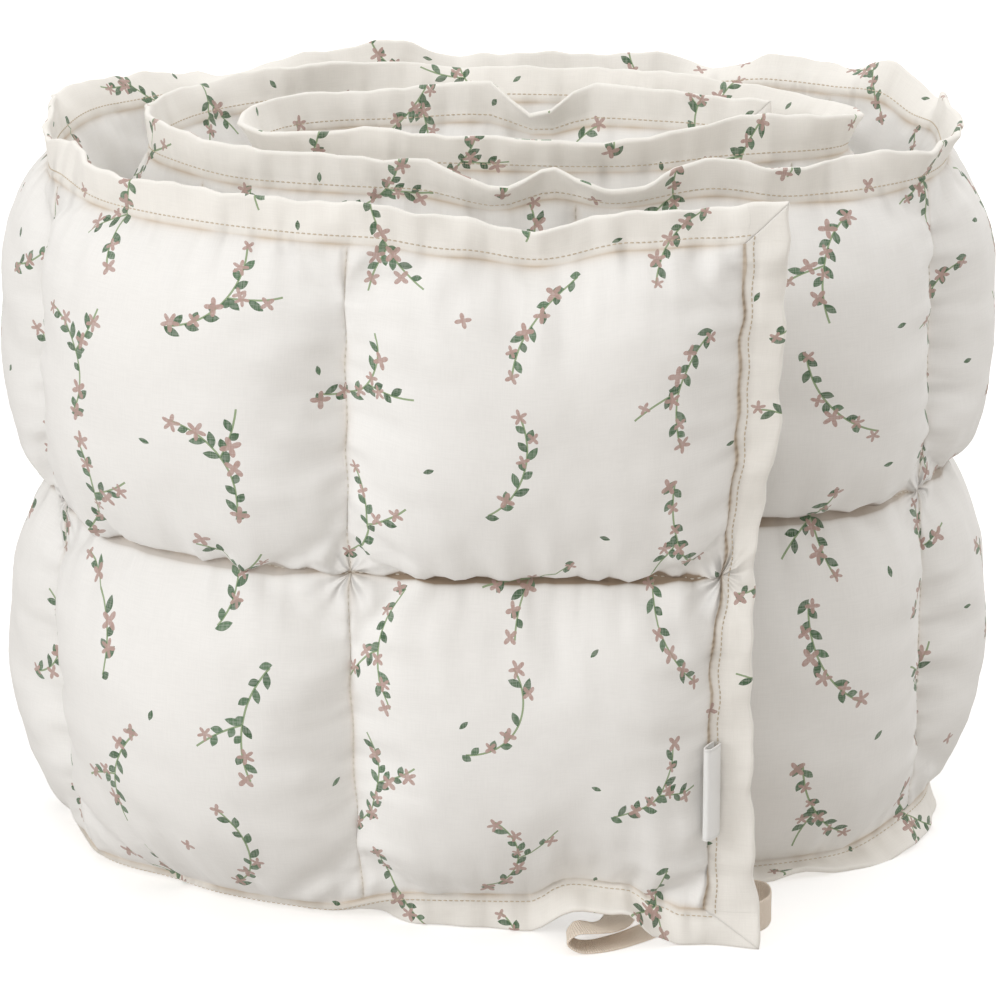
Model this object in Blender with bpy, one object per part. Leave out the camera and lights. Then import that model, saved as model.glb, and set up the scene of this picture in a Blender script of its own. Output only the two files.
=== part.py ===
"""Crib bumper: a long quilted and filled cotton panel, rolled up and standing on its long edge.

The panel is one filled solid. Its flange line runs along a spiral of quarter turns, seen from
above, and the filled pillows swell to both sides of that line between the stitched seams. A
flat flange of the same cloth runs all round. A cotton tape tie lies on the floor at the front,
and a bare folded label is sewn in the seam beside the flap's lower corner.

Metres, +Z up, +X to the right and +Y away from the front. The floor is z = 0.
"""

import bmesh
import bpy
import numpy as np

# Driving dimensions of the panel, in metres.
FLANGE_WIDTH = 0.0155
FLANGE_THICK = 0.003
MIDDLE_SEAM_Z = 0.154
TOP_SEAM_Z = 0.286
COLUMN_PITCH = 0.1505
COLUMNS = 14
COLUMN_STEPS = (12, 8, 8, 8, 8, 8, 8, 8, 6, 6, 6, 6, 6, 6)
ROW_STEPS = 8
FLANGE_STEPS = 3
PANEL_LENGTH = COLUMNS * COLUMN_PITCH + 2 * FLANGE_WIDTH

# The pillows. Fullness is the power of the sine that shapes a pillow from seam to seam.
FULLNESS = 0.55
OUTER_SWELL = 0.024
INNER_SWELL = 0.0165
SWELL_FADE_START = 0.85
SWELL_FADE_END = 1.15
FLAP_SWELL = 0.022
FLAP_REACH = 0.16
CORE_SWELL = 0.021
CORE_FROM = 1.72
BEND_SHARE = 0.55
BEND_WINDOW = 0.020
SAG = 0.006

# The roll, seen from above: where each quarter turn of the flange line faces furthest to the
# front, left, back or right, and how square the quarter that leads there is (2 is an ellipse).
ROLL_COLUMNS = ("x", "y", "squareness")
ROLL = (
    (-0.005, -0.168, 2.0),  # front of the outer turn
    (-0.180, -0.026, 2.3),  # left
    (-0.010, 0.108, 2.1),  # back
    (0.180, -0.006, 2.5),  # right
    (0.055, -0.100, 2.6),  # front of the second turn
    (-0.140, -0.030, 2.4),
    (-0.030, 0.060, 2.3),
    (0.139, -0.024, 1.9),
    (0.020, -0.062, 2.3),  # front of the third turn
    (-0.098, -0.032, 2.3),
    (-0.040, 0.020, 2.4),
)
FLAP_END = (0.108, -0.172)
INNER_END = (0.110, -0.006)
QUARTER_SAMPLES = 400
MIDDLE_OF_BASE = (0.0006, -0.0323)

# The flap hangs a little askew: at a height, how far its edge and its seam have drifted back
# along the roll.
FLAP_DRIFT_COLUMNS = ("z", "edge", "seam")
FLAP_DRIFT = (
    (0.000, 0.0065, 0.0115),
    (0.060, 0.0095, 0.0120),
    (0.120, 0.0105, 0.0110),
    (0.160, 0.0100, 0.0065),
    (0.220, 0.0020, 0.0020),
    (0.302, 0.0000, 0.0000),
)
FLAP_DRIFT_REACH = 0.10

# The upper flange: at a distance along the panel, how far it leans outward, how much its seam
# is raised, and how far its edge is drawn out into a point.
UPPER_FLANGE_COLUMNS = ("along", "lean_deg", "seam_rise", "peak")
UPPER_FLANGE = (
    (0.000, 12, 0.0015, 0.000),
    (0.030, -2, -0.0010, 0.000),
    (0.058, 8, -0.0030, 0.000),
    (0.094, 16, -0.0095, 0.000),
    (0.124, 4, -0.0060, 0.000),
    (0.160, -6, -0.0020, 0.000),
    (0.235, 0, -0.0010, 0.000),
    (0.275, 14, -0.0010, 0.000),
    (0.312, -24, 0.0000, 0.001),
    (0.345, 6, -0.0030, 0.000),
    (0.385, 14, 0.0000, 0.001),
    (0.420, 38, 0.0010, 0.001),
    (0.460, 44, -0.0010, 0.000),
    (0.500, 72, -0.0030, 0.000),
    (0.545, 34, -0.0030, 0.000),
    (0.577, 10, 0.0005, 0.000),
    (0.602, 34, -0.0060, 0.000),
    (0.650, 20, -0.0060, 0.000),
    (0.686, 18, -0.0050, 0.000),
    (0.712, 78, -0.0040, 0.000),
    (0.739, 52, -0.0010, 0.000),
    (0.764, 56, -0.0010, 0.000),
    (0.791, 34, 0.0005, 0.001),
    (0.816, 56, -0.0045, 0.000),
    (0.846, 12, -0.0020, 0.001),
    (0.879, 26, -0.0040, 0.000),
    (0.922, 26, -0.0040, 0.000),
    (0.958, -24, -0.0050, 0.002),
    (0.984, 16, -0.0040, 0.000),
    (1.016, 6, 0.0000, 0.000),
    (1.055, 64, -0.0045, 0.000),
    (1.078, 22, -0.0010, 0.000),
    (1.100, 56, -0.0060, 0.000),
    (1.134, 4, -0.0010, 0.000),
    (1.199, 10, -0.0010, 0.000),
    (1.244, -4, 0.0015, 0.001),
    (1.294, 20, 0.0000, 0.000),
    (1.350, 30, 0.0000, 0.000),
    (1.385, -14, 0.0010, 0.002),
    (1.440, 34, 0.0000, 0.000),
    (1.520, 22, 0.0010, 0.000),
    (1.600, 44, 0.0000, 0.000),
    (1.690, -8, 0.0020, 0.003),
    (1.740, 36, 0.0000, 0.000),
    (1.830, 12, 0.0010, 0.000),
    (1.900, 30, 0.0000, 0.000),
    (1.975, 4, -0.0010, 0.000),
    (2.018, -2, 0.0010, 0.002),
    (2.042, -44, -0.0040, 0.000),
    (2.066, 0, 0.0010, 0.002),
    (2.100, 14, 0.0010, 0.000),
    (2.140, 10, 0.0000, 0.000),
)

# The lower flange: at a distance along the panel, how far it is turned outward (under, when
# negative), how far its lowest line is held off the floor, and how far its seam is drawn in
# under the pillows.
LOWER_FLANGE_COLUMNS = ("along", "turn_deg", "lift", "inset")
LOWER_FLANGE = (
    (0.000, 4, 0.0000, 0.000),
    (0.028, 10, 0.0000, 0.002),
    (0.040, 34, 0.0030, 0.006),
    (0.056, 62, 0.0115, 0.011),
    (0.078, 58, 0.0115, 0.014),
    (0.096, 6, 0.0000, 0.014),
    (0.132, -14, 0.0000, 0.015),
    (0.186, -90, 0.0000, 0.023),
    (0.260, -90, 0.0000, 0.021),
    (0.320, -90, 0.0000, 0.006),
    (0.380, -90, 0.0000, 0.000),
    (0.440, -90, 0.0000, 0.000),
    (0.560, -30, 0.0000, 0.004),
    (0.680, 10, 0.0000, 0.006),
    (0.800, -40, 0.0000, 0.000),
    (0.900, 20, 0.0000, 0.000),
    (0.960, 90, 0.0000, 0.004),
    (1.060, 90, 0.0000, 0.000),
    (1.140, 20, 0.0000, 0.000),
    (1.400, -25, 0.0000, 0.000),
    (1.600, 15, 0.0000, 0.000),
    (1.850, -20, 0.0000, 0.000),
    (2.140, 20, 0.0000, 0.000),
)
INSET_POWER = 1.6

# The tape tie, end to end: its middle line and the way its width points, in millimetres.
TAPE_WIDTH = 0.013
TAPE_THICK = 0.0010
TAPE_SAMPLES_PER_STEP = 4
TAPE_POINTS_ACROSS = 3
TAPE_ROUTE_COLUMNS = ("x", "y", "z", "width_x", "width_y", "width_z")
TAPE_ROUTE_MM = (
    (76.0, -166.4, 6.5, 0.00, 0.10, 1.0),
    (85.0, -166.4, 6.5, 0.00, 0.05, 1.0),
    (94.0, -163.0, 6.5, 0.00, 0.00, 1.0),
    (101.0, -157.5, 6.5, 0.00, 0.00, 1.0),
    (106.0, -151.0, 6.5, 0.00, 0.00, 1.0),
    (107.6, -143.5, 6.5, 0.00, 0.00, 1.0),
    (106.0, -136.8, 6.5, 0.00, 0.00, 1.0),
    (100.5, -133.0, 6.5, 0.00, -0.10, 1.0),
    (92.5, -132.0, 6.0, 0.00, -0.60, 1.0),
    (84.0, -133.5, 4.4, 0.00, -1.00, 0.7),
    (76.0, -137.5, 2.2, 0.50, -0.80, 0.25),
    (69.0, -144.0, 0.8, 0.70, -0.70, 0.05),
    (62.0, -152.0, 0.5, 0.74, -0.67, 0.0),
    (54.0, -160.5, 0.5, 0.68, -0.74, 0.0),
    (45.0, -167.5, 0.5, 0.50, -0.87, 0.0),
    (37.0, -171.5, 0.5, 0.26, -0.97, 0.0),
    (30.5, -173.0, 1.4, 0.08, -1.00, 0.0),
    (26.5, -173.5, 5.0, 0.00, -1.00, 0.0),
    (30.0, -173.0, 8.8, 0.08, -1.00, 0.0),
    (36.0, -171.0, 8.4, 0.40, -0.92, 0.0),
    (41.0, -166.5, 6.6, 0.75, -0.66, 0.0),
    (45.0, -159.0, 5.0, 0.90, -0.43, 0.0),
    (47.0, -150.0, 3.2, 0.97, -0.25, 0.0),
    (48.0, -142.0, 1.4, 0.99, -0.14, 0.0),
)

# The side label: a folded tape tab, sewn by both ends in the seam beside the flap's flange.
LABEL_ALONG_SEAM = 0.038
LABEL_REACH = 0.0095
LABEL_BESIDE_SEAM = 0.0030
LABEL_THICK = 0.0006
LABEL_OPENING = 0.0024
LABEL_LOW_Z = 0.049
LABEL_LEAN_DEG = 66
LABEL_FOLD_STEPS = 6
LABEL_GAP = 0.0004

# Edges sharper than this, such as the flange's rim, are shaded as corners.
SHARP_ANGLE_DEG = 50.0
# A line that is almost straight counts as one that bends by at least this much.
SMALLEST_RISE = 0.00001
MILLIMETRE = 0.001

COTTON = ("printed_cotton", (0.90, 0.885, 0.855, 1.0), 0.9)
TAPE = ("cotton_tape", (0.86, 0.74, 0.62, 1.0), 0.95)
LABEL = ("label_tape", (0.88, 0.88, 0.87, 1.0), 0.6)


def clear_scene():
    for obj in list(bpy.data.objects):
        bpy.data.objects.remove(obj, do_unlink=True)


def make_material(name, colour, roughness):
    material = bpy.data.materials.new(name)
    material.use_nodes = True
    shader = material.node_tree.nodes["Principled BSDF"]
    shader.inputs["Base Color"].default_value = colour
    shader.inputs["Roughness"].default_value = roughness
    shader.inputs["Metallic"].default_value = 0.0
    return material


def make_object(name, vertices, faces, material):
    """A closed, smooth-shaded mesh object with its faces pointing out. Its vertices are moved
    so that the middle of the whole object's base is the origin."""
    mesh = bpy.data.meshes.new(name)
    mesh.from_pydata((vertices - (*MIDDLE_OF_BASE, 0.0)).tolist(), [], faces.tolist())
    shell = bmesh.new()
    shell.from_mesh(mesh)
    bmesh.ops.recalc_face_normals(shell, faces=shell.faces)
    shell.to_mesh(mesh)
    shell.free()
    mesh.materials.append(make_material(*material))
    mesh.shade_smooth()
    mesh.set_sharp_from_angle(angle=np.radians(SHARP_ANGLE_DEG))
    obj = bpy.data.objects.new(name, mesh)
    bpy.context.scene.collection.objects.link(obj)
    return obj


def table_column(table, columns, name):
    return np.array([row[columns.index(name)] for row in table], dtype=float)


def eased(at, known_at, known):
    """Values between the rows of a table, easing in and out of each row as a cosine does."""
    row = np.clip(np.searchsorted(known_at, at, side="right") - 1, 0, len(known_at) - 2)
    share = (at - known_at[row]) / (known_at[row + 1] - known_at[row])
    share = 0.5 - 0.5 * np.cos(np.pi * np.clip(share, 0.0, 1.0))
    return known[row] + (known[row + 1] - known[row]) * share


def quarter(start, end, squareness, along_x_first):
    """A quarter of a superellipse from start to end: one coordinate runs with the sine of the
    turn raised to 2 / squareness, and the other with its cosine raised to the same power."""
    turn = np.linspace(0.0, np.pi / 2, QUARTER_SAMPLES)
    leaving = np.sin(turn) ** (2.0 / squareness)
    staying = np.cos(turn).clip(0.0) ** (2.0 / squareness)
    moved, kept = (0, 1) if along_x_first else (1, 0)
    points = np.empty((QUARTER_SAMPLES, 2))
    points[:, moved] = start[moved] + (end[moved] - start[moved]) * leaving
    points[:, kept] = end[kept] + (start[kept] - end[kept]) * staying
    return points


def end_run(tip, front):
    """A free end: from tip to front along a parabola that is level with X at front."""
    x = np.linspace(tip[0], front[0], QUARTER_SAMPLES)
    share = (x - front[0]) / (tip[0] - front[0])
    return np.column_stack((x, front[1] + (tip[1] - front[1]) * share**2))


def roll_line():
    """The flange line from the flap's edge to the inner end, as points and their distances."""
    x, y, squareness = (table_column(ROLL, ROLL_COLUMNS, name) for name in ROLL_COLUMNS)
    stations = np.column_stack((x, y))
    runs = [end_run(FLAP_END, stations[0])]
    for number in range(1, len(ROLL)):
        start, end = stations[number - 1], stations[number]
        runs.append(quarter(start, end, squareness[number], number % 2 == 1))
    runs.append(end_run(INNER_END, stations[-1])[::-1])
    points = np.vstack([runs[0]] + [run[1:] for run in runs[1:]])
    steps = np.hypot(*np.diff(points, axis=0).T)
    return points, np.concatenate(([0.0], np.cumsum(steps)))


def line_at(along, points, distances):
    """Place, tangent, outward normal and radius of bend at distances along the flange line."""

    def place(at):
        return np.column_stack([np.interp(at, distances, points[:, k]) for k in (0, 1)])

    ahead = place(np.minimum(along + BEND_WINDOW / 2, PANEL_LENGTH))
    behind = place(np.maximum(along - BEND_WINDOW / 2, 0.0))
    tangent = ahead - behind
    tangent /= np.linalg.norm(tangent, axis=1, keepdims=True)
    normal = np.column_stack((-tangent[:, 1], tangent[:, 0]))
    early = place(np.maximum(along - BEND_WINDOW, 0.0))
    late = place(np.minimum(along + BEND_WINDOW, PANEL_LENGTH))
    middle = place(along)
    rise = np.einsum("ij,ij->i", middle - (early + late) / 2, normal)
    half_chord = np.linalg.norm(late - early, axis=1) / 2
    radius = half_chord**2 / (2 * np.maximum(rise, SMALLEST_RISE))
    return middle, tangent, normal, radius


def seam_spacing(count):
    """Shares from 0 to 1 that lie closer together at both seams, as a cosine spaces them."""
    return 0.5 - 0.5 * np.cos(np.pi * np.arange(count + 1) / count)


def panel_stations():
    """Distances along the panel, and the swell shape (0 at a seam, 1 mid pillow) at each."""
    flange = np.linspace(0.0, FLANGE_WIDTH, FLANGE_STEPS + 1)
    along = [flange]
    shape = [np.zeros_like(flange)]
    for column in range(COLUMNS):
        share = seam_spacing(COLUMN_STEPS[column])[1:]
        along.append(FLANGE_WIDTH + COLUMN_PITCH * (column + share))
        shape.append(np.sin(np.pi * share).clip(0.0))
    along.append(PANEL_LENGTH - flange[::-1][1:])
    shape.append(np.zeros(FLANGE_STEPS))
    return np.concatenate(along), np.concatenate(shape)


def swell_amounts(along, radius):
    """How far the pillows swell outward and inward: fullest outside on the outer turn, inside
    on the free flap and round the roll's open core, and never more than a share of the radius
    on the inside of a bend."""
    fade = np.clip((along - SWELL_FADE_START) / (SWELL_FADE_END - SWELL_FADE_START), 0.0, 1.0)
    fade = fade * fade * (3 - 2 * fade)
    outward = OUTER_SWELL + (INNER_SWELL - OUTER_SWELL) * fade
    inward = np.where(along > CORE_FROM, CORE_SWELL, INNER_SWELL)
    inward += (FLAP_SWELL - INNER_SWELL) * np.exp(-((along / FLAP_REACH) ** 4))
    inward = np.minimum(inward, BEND_SHARE * radius)
    return outward, inward


def lower_flange(along, normal):
    """The lower flange from its edge up to its seam. The step next to the seam turns outward
    by half the table's angle and the rest by all of it, and the seam is as high as the steps
    need above the floor."""
    at = table_column(LOWER_FLANGE, LOWER_FLANGE_COLUMNS, "along")
    turn_deg = table_column(LOWER_FLANGE, LOWER_FLANGE_COLUMNS, "turn_deg")
    lift = table_column(LOWER_FLANGE, LOWER_FLANGE_COLUMNS, "lift")
    inset = table_column(LOWER_FLANGE, LOWER_FLANGE_COLUMNS, "inset")
    turn = np.radians(eased(along, at, turn_deg))
    raised = eased(along, at, lift)
    step = FLANGE_WIDTH / FLANGE_STEPS
    turned_share = np.ones(FLANGE_STEPS)
    turned_share[0] = 0.5
    angles = turn[:, None] * turned_share
    out = np.cumsum(step * np.sin(angles), axis=1)
    down = np.cumsum(step * np.cos(angles), axis=1)
    lowest = down[:, -1] + np.abs(np.sin(turn)) * FLANGE_THICK / 2
    seam_z = np.maximum(lowest + raised, 0.0)
    centre = np.empty((len(along), FLANGE_STEPS, 3))
    centre[:, :, :2] = out[:, :, None] * normal[:, None, :]
    centre[:, :, 2] = seam_z[:, None] - down
    facing = np.empty_like(centre)
    facing[:, :, :2] = np.cos(angles)[:, :, None] * normal[:, None, :]
    facing[:, :, 2] = np.sin(angles)
    return seam_z, eased(along, at, inset), centre[:, ::-1], facing[:, ::-1]


def upper_flange(along, normal):
    """The upper flange from its seam up to its edge, leaning outward by a table's angle."""
    at = table_column(UPPER_FLANGE, UPPER_FLANGE_COLUMNS, "along")
    lean_deg = table_column(UPPER_FLANGE, UPPER_FLANGE_COLUMNS, "lean_deg")
    rise = table_column(UPPER_FLANGE, UPPER_FLANGE_COLUMNS, "seam_rise")
    peak = table_column(UPPER_FLANGE, UPPER_FLANGE_COLUMNS, "peak")
    lean = np.radians(eased(along, at, lean_deg))
    seam_z = TOP_SEAM_Z + eased(along, at, rise)
    share = np.arange(1, FLANGE_STEPS + 1) / FLANGE_STEPS
    reach = FLANGE_WIDTH * share[None, :] + eased(along, at, peak)[:, None] * share**2
    centre = np.empty((len(along), FLANGE_STEPS, 3))
    centre[:, :, :2] = (np.sin(lean)[:, None] * reach)[:, :, None] * normal[:, None, :]
    centre[:, :, 2] = seam_z[:, None] + np.cos(lean)[:, None] * reach
    facing = np.empty_like(centre)
    facing[:, :, :2] = np.cos(lean)[:, None, None] * normal[:, None, :]
    facing[:, :, 2] = -np.sin(lean)[:, None]
    return seam_z, centre, facing


def filled_rows(low_z, high_z):
    """Heights of the steps up both rows of pillows, their swell shape, their share of the sag
    and their share of the lower seam's inset."""
    share = seam_spacing(ROW_STEPS)
    shape = np.sin(np.pi * share).clip(0.0)
    middle = np.full_like(low_z, MIDDLE_SEAM_Z)
    lower = low_z[:, None] + (middle - low_z)[:, None] * share
    upper = middle[:, None] + (high_z - middle)[:, None] * share[1:]
    return (
        np.hstack((lower, upper)),
        np.concatenate((shape, shape[1:])),
        np.concatenate((shape * share, 1 - share[1:])),
        np.concatenate(((1 - share) ** INSET_POWER, np.zeros(ROW_STEPS))),
    )


def flap_drift(along, z):
    """How far each point near the flap's end is drifted along the roll: between the edge's and
    the seam's amounts across the flange, then fading over the first column."""
    at = table_column(FLAP_DRIFT, FLAP_DRIFT_COLUMNS, "z")
    edge = eased(z, at, table_column(FLAP_DRIFT, FLAP_DRIFT_COLUMNS, "edge"))
    seam = eased(z, at, table_column(FLAP_DRIFT, FLAP_DRIFT_COLUMNS, "seam"))
    share = np.clip(along / FLANGE_WIDTH, 0.0, 1.0)[:, None]
    past_seam = np.clip((along - FLANGE_WIDTH) / FLAP_DRIFT_REACH, 0.0, 1.0)[:, None]
    return (edge + (seam - edge) * share) * (1 - past_seam) ** 2


def bridged_grids(outside, inside):
    """Faces of a closed body from two grids of vertices and the strips round their edges."""
    rows, columns = outside.shape

    def quads(grid):
        return np.stack((grid[:-1, :-1], grid[1:, :-1], grid[1:, 1:], grid[:-1, 1:]), axis=-1)

    def strip(a, b):
        return np.stack((a[:-1], a[1:], b[1:], b[:-1]), axis=-1)

    faces = [quads(outside).reshape(-1, 4), quads(inside)[:, :, ::-1].reshape(-1, 4)]
    faces.append(strip(inside[0], outside[0]))
    faces.append(strip(outside[-1], inside[-1]))
    faces.append(strip(outside[:, 0], inside[:, 0]))
    faces.append(strip(inside[:, -1], outside[:, -1]))
    return np.vstack(faces)


def build_panel():
    """The rolled panel: two faces, one to each side of the flange line, joined round the edge.

    Each face is the line's place plus its normal times half the flange's thickness plus the
    swell, which is the product of both sines across a pillow raised to the fullness."""
    points, distances = roll_line()
    along, column_shape = panel_stations()
    place, tangent, normal, radius = line_at(along, points, distances)
    outward, inward = swell_amounts(along, radius)
    low_z, inset, low_centre, low_facing = lower_flange(along, normal)
    high_z, high_centre, high_facing = upper_flange(along, normal)
    row_z, row_shape, sag_share, inset_share = filled_rows(low_z, high_z)

    swell = (column_shape[:, None] * row_shape[None, :]) ** FULLNESS
    row_centre = np.zeros(row_z.shape + (3,))
    row_centre[:, :, 2] = row_z
    row_facing = np.zeros_like(row_centre)
    row_facing[:, :, :2] = normal[:, None, :]

    centre = np.concatenate((low_centre, row_centre, high_centre), axis=1)
    facing = np.concatenate((low_facing, row_facing, high_facing), axis=1)
    drawn_in = inset[:, None] * np.pad(inset_share, (FLANGE_STEPS, FLANGE_STEPS), mode="edge")
    drift = flap_drift(along, centre[:, :, 2])
    centre[:, :, :2] += place[:, None, :] - drawn_in[:, :, None] * normal[:, None, :]
    centre[:, :, :2] += drift[:, :, None] * tangent[:, None, :]
    around = ((0, 0), (FLANGE_STEPS, FLANGE_STEPS))
    sag = np.pad(swell * sag_share, around) * SAG
    swell = np.pad(swell, around)

    outer = centre + facing * (FLANGE_THICK / 2 + outward[:, None] * swell)[:, :, None]
    inner = centre - facing * (FLANGE_THICK / 2 + inward[:, None] * swell)[:, :, None]
    outer[:, :, 2] -= sag
    inner[:, :, 2] -= sag
    vertices = np.vstack((outer.reshape(-1, 3), inner.reshape(-1, 3)))
    vertices[:, 2] = np.maximum(vertices[:, 2], 0.0)
    index = np.arange(len(vertices)).reshape((2,) + swell.shape)
    return make_object("padded_panel", vertices, bridged_grids(index[0], index[1]), COTTON)


def smooth_route(route, samples):
    """A Catmull-Rom curve through every row of a route, with samples steps between rows."""
    padded = np.vstack((2 * route[0] - route[1], route, 2 * route[-1] - route[-2]))
    share = np.arange(samples)[:, None] / samples
    runs = []
    for number in range(len(route) - 1):
        before, start, end, after = padded[number : number + 4]
        runs.append(
            start
            + 0.5 * share * (end - before)
            + share**2 * (before - 2.5 * start + 2 * end - 0.5 * after)
            + share**3 * (1.5 * (start - end) + 0.5 * (after - before))
        )
    return np.vstack(runs + [route[-1:]])


def build_tape():
    """The tape tie: a thin oblong section carried along its route. Its width is the route's
    width direction less the part that runs along the route."""
    route = smooth_route(np.array(TAPE_ROUTE_MM), TAPE_SAMPLES_PER_STEP)
    first_width = TAPE_ROUTE_COLUMNS.index("width_x")
    middle = route[:, :first_width] * MILLIMETRE
    tangent = np.gradient(middle, axis=0)
    tangent /= np.linalg.norm(tangent, axis=1, keepdims=True)
    width = route[:, first_width:]
    width = width - np.sum(width * tangent, axis=1, keepdims=True) * tangent
    width /= np.linalg.norm(width, axis=1, keepdims=True)
    face = np.cross(tangent, width)
    across = TAPE_WIDTH * np.linspace(-0.5, 0.5, TAPE_POINTS_ACROSS)
    strip = middle[:, None, :] + width[:, None, :] * across[None, :, None]
    near = strip + face[:, None, :] * TAPE_THICK / 2
    far = strip - face[:, None, :] * TAPE_THICK / 2
    vertices = np.vstack((near.reshape(-1, 3), far.reshape(-1, 3)))
    vertices[:, 2] = np.maximum(vertices[:, 2], 0.0)
    index = np.arange(len(vertices)).reshape(2, len(middle), TAPE_POINTS_ACROSS)
    return make_object("tape_tie", vertices, bridged_grids(index[0], index[1]), TAPE)


def label_section():
    """The folded tab seen along the seam: two straight leaves joined by a half round fold. The
    outer line is followed by the inner one, from the sewn end of one leaf to the other's."""
    outer_radius = LABEL_OPENING / 2 + LABEL_THICK
    straight = LABEL_REACH - outer_radius
    turn = np.linspace(-np.pi / 2, np.pi / 2, LABEL_FOLD_STEPS + 1)

    def line(radius):
        fold = np.column_stack((straight + radius * np.cos(turn), radius * np.sin(turn)))
        return np.vstack(([0.0, -radius], fold, [0.0, radius]))

    return line(outer_radius), line(LABEL_OPENING / 2)


def build_label():
    """The side label: its folded section runs up the seam beside the flap's flange, leaning
    from the panel's face towards the front."""
    points, distances = roll_line()
    sewn_at = np.array([FLANGE_WIDTH - LABEL_BESIDE_SEAM])
    heights = LABEL_LOW_Z + np.array([0.0, 0.5, 1.0]) * LABEL_ALONG_SEAM
    place, tangent, normal, _ = line_at(sewn_at, points, distances)
    drift = flap_drift(sewn_at, heights[None, 1:2])[0, 0]
    towards_pillow, normal = tangent[0], normal[0]
    place = place[0] + drift * towards_pillow
    lean = np.radians(LABEL_LEAN_DEG)
    reach = np.cos(lean) * towards_pillow + np.sin(lean) * normal
    side = -np.sin(lean) * towards_pillow + np.cos(lean) * normal
    half_width = LABEL_OPENING / 2 + LABEL_THICK
    root = place + normal * (FLANGE_THICK / 2 + LABEL_GAP + half_width * np.cos(lean))

    def grid(line):
        plan = root + line[:, :1] * reach + line[:, 1:] * side
        flat = np.repeat(plan[:, None, :], len(heights), axis=1)
        z = np.broadcast_to(heights[None, :, None], flat.shape[:2] + (1,))
        return np.concatenate((flat, z), axis=2).reshape(-1, 3)

    outer, inner = label_section()
    vertices = np.vstack((grid(outer), grid(inner)))
    index = np.arange(len(vertices)).reshape(2, len(outer), len(heights))
    return make_object("side_label", vertices, bridged_grids(index[0], index[1]), LABEL)


def main():
    clear_scene()
    build_panel()
    build_tape()
    build_label()


main()
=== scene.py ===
"""Crib bumper, dressed: the rolled panel's printed cotton cover, its stitching, tape and label.

The panel's cover is a flat sheet that is held along every quilting seam and blown up by a cloth
simulation. Its puckers are then laid on both sides of the same flange line as the CAD panel's.

Metres, +Z up, +X to the right and +Y away from the front. The floor is z = 0.
"""

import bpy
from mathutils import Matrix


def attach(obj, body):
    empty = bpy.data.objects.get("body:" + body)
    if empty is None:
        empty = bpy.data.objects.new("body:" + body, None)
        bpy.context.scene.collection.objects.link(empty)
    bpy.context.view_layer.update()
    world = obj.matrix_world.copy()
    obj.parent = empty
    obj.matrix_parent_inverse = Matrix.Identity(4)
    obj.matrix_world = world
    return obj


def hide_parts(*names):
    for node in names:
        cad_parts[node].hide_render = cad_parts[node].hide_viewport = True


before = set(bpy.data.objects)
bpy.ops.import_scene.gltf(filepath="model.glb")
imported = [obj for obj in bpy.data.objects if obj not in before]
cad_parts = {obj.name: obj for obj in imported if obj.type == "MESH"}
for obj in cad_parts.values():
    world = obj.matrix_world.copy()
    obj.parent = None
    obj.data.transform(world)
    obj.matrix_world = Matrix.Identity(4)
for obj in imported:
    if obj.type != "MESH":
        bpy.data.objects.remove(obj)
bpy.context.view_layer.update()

from types import SimpleNamespace

import bmesh
import bpy
import numpy as np
from bpy.props import FloatProperty, FloatVectorProperty, PointerProperty
from mathutils import Euler, Vector

bl_info = {
    "name": "Crib bumper",
    "version": (1, 0, 0),
    "blender": (4, 5, 0),
    "location": "3D View > Sidebar > Bumper",
    "description": "Dresses a rolled, quilted crib bumper with its cover, stitching, tape and label",
    "category": "Object",
}

# The panel's lasting sizes, as in the part's source.
FLANGE_WIDTH = 0.0155
FLANGE_THICK = 0.003
MIDDLE_SEAM_Z = 0.154
TOP_SEAM_Z = 0.286
COLUMN_PITCH = 0.1505
COLUMNS = 14
PANEL_LENGTH = COLUMNS * COLUMN_PITCH + 2 * FLANGE_WIDTH
OUTER_SWELL = 0.024
INNER_SWELL = 0.0165
SWELL_FADE_START = 0.85
SWELL_FADE_END = 1.15
FLAP_SWELL = 0.022
FLAP_REACH = 0.16
CORE_SWELL = 0.021
CORE_FROM = 1.72
BEND_SHARE = 0.55
BEND_WINDOW = 0.020
SAG = 0.006
INSET_POWER = 1.6
MIDDLE_OF_BASE = (0.0006, -0.0323)

# Where each quarter turn of the flange line faces furthest out, and how square it is.
ROLL = (
    (-0.005, -0.168, 2.0),  # front of the outer turn
    (-0.180, -0.026, 2.3),  # left
    (-0.010, 0.108, 2.1),  # back
    (0.180, -0.006, 2.5),  # right
    (0.055, -0.100, 2.6),  # front of the second turn
    (-0.140, -0.030, 2.4),
    (-0.030, 0.060, 2.3),
    (0.139, -0.024, 1.9),
    (0.020, -0.062, 2.3),  # front of the third turn
    (-0.098, -0.032, 2.3),
    (-0.040, 0.020, 2.4),
)
FLAP_END = (0.108, -0.172)
INNER_END = (0.110, -0.006)
QUARTER_SAMPLES = 400

# How far the flap's edge and the seam beside it drift along the roll: z, edge, seam.
FLAP_DRIFT = (
    (0.000, 0.0065, 0.0115),
    (0.060, 0.0095, 0.0120),
    (0.120, 0.0105, 0.0110),
    (0.160, 0.0100, 0.0065),
    (0.220, 0.0020, 0.0020),
    (0.302, 0.0000, 0.0000),
)
FLAP_DRIFT_REACH = 0.10

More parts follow.
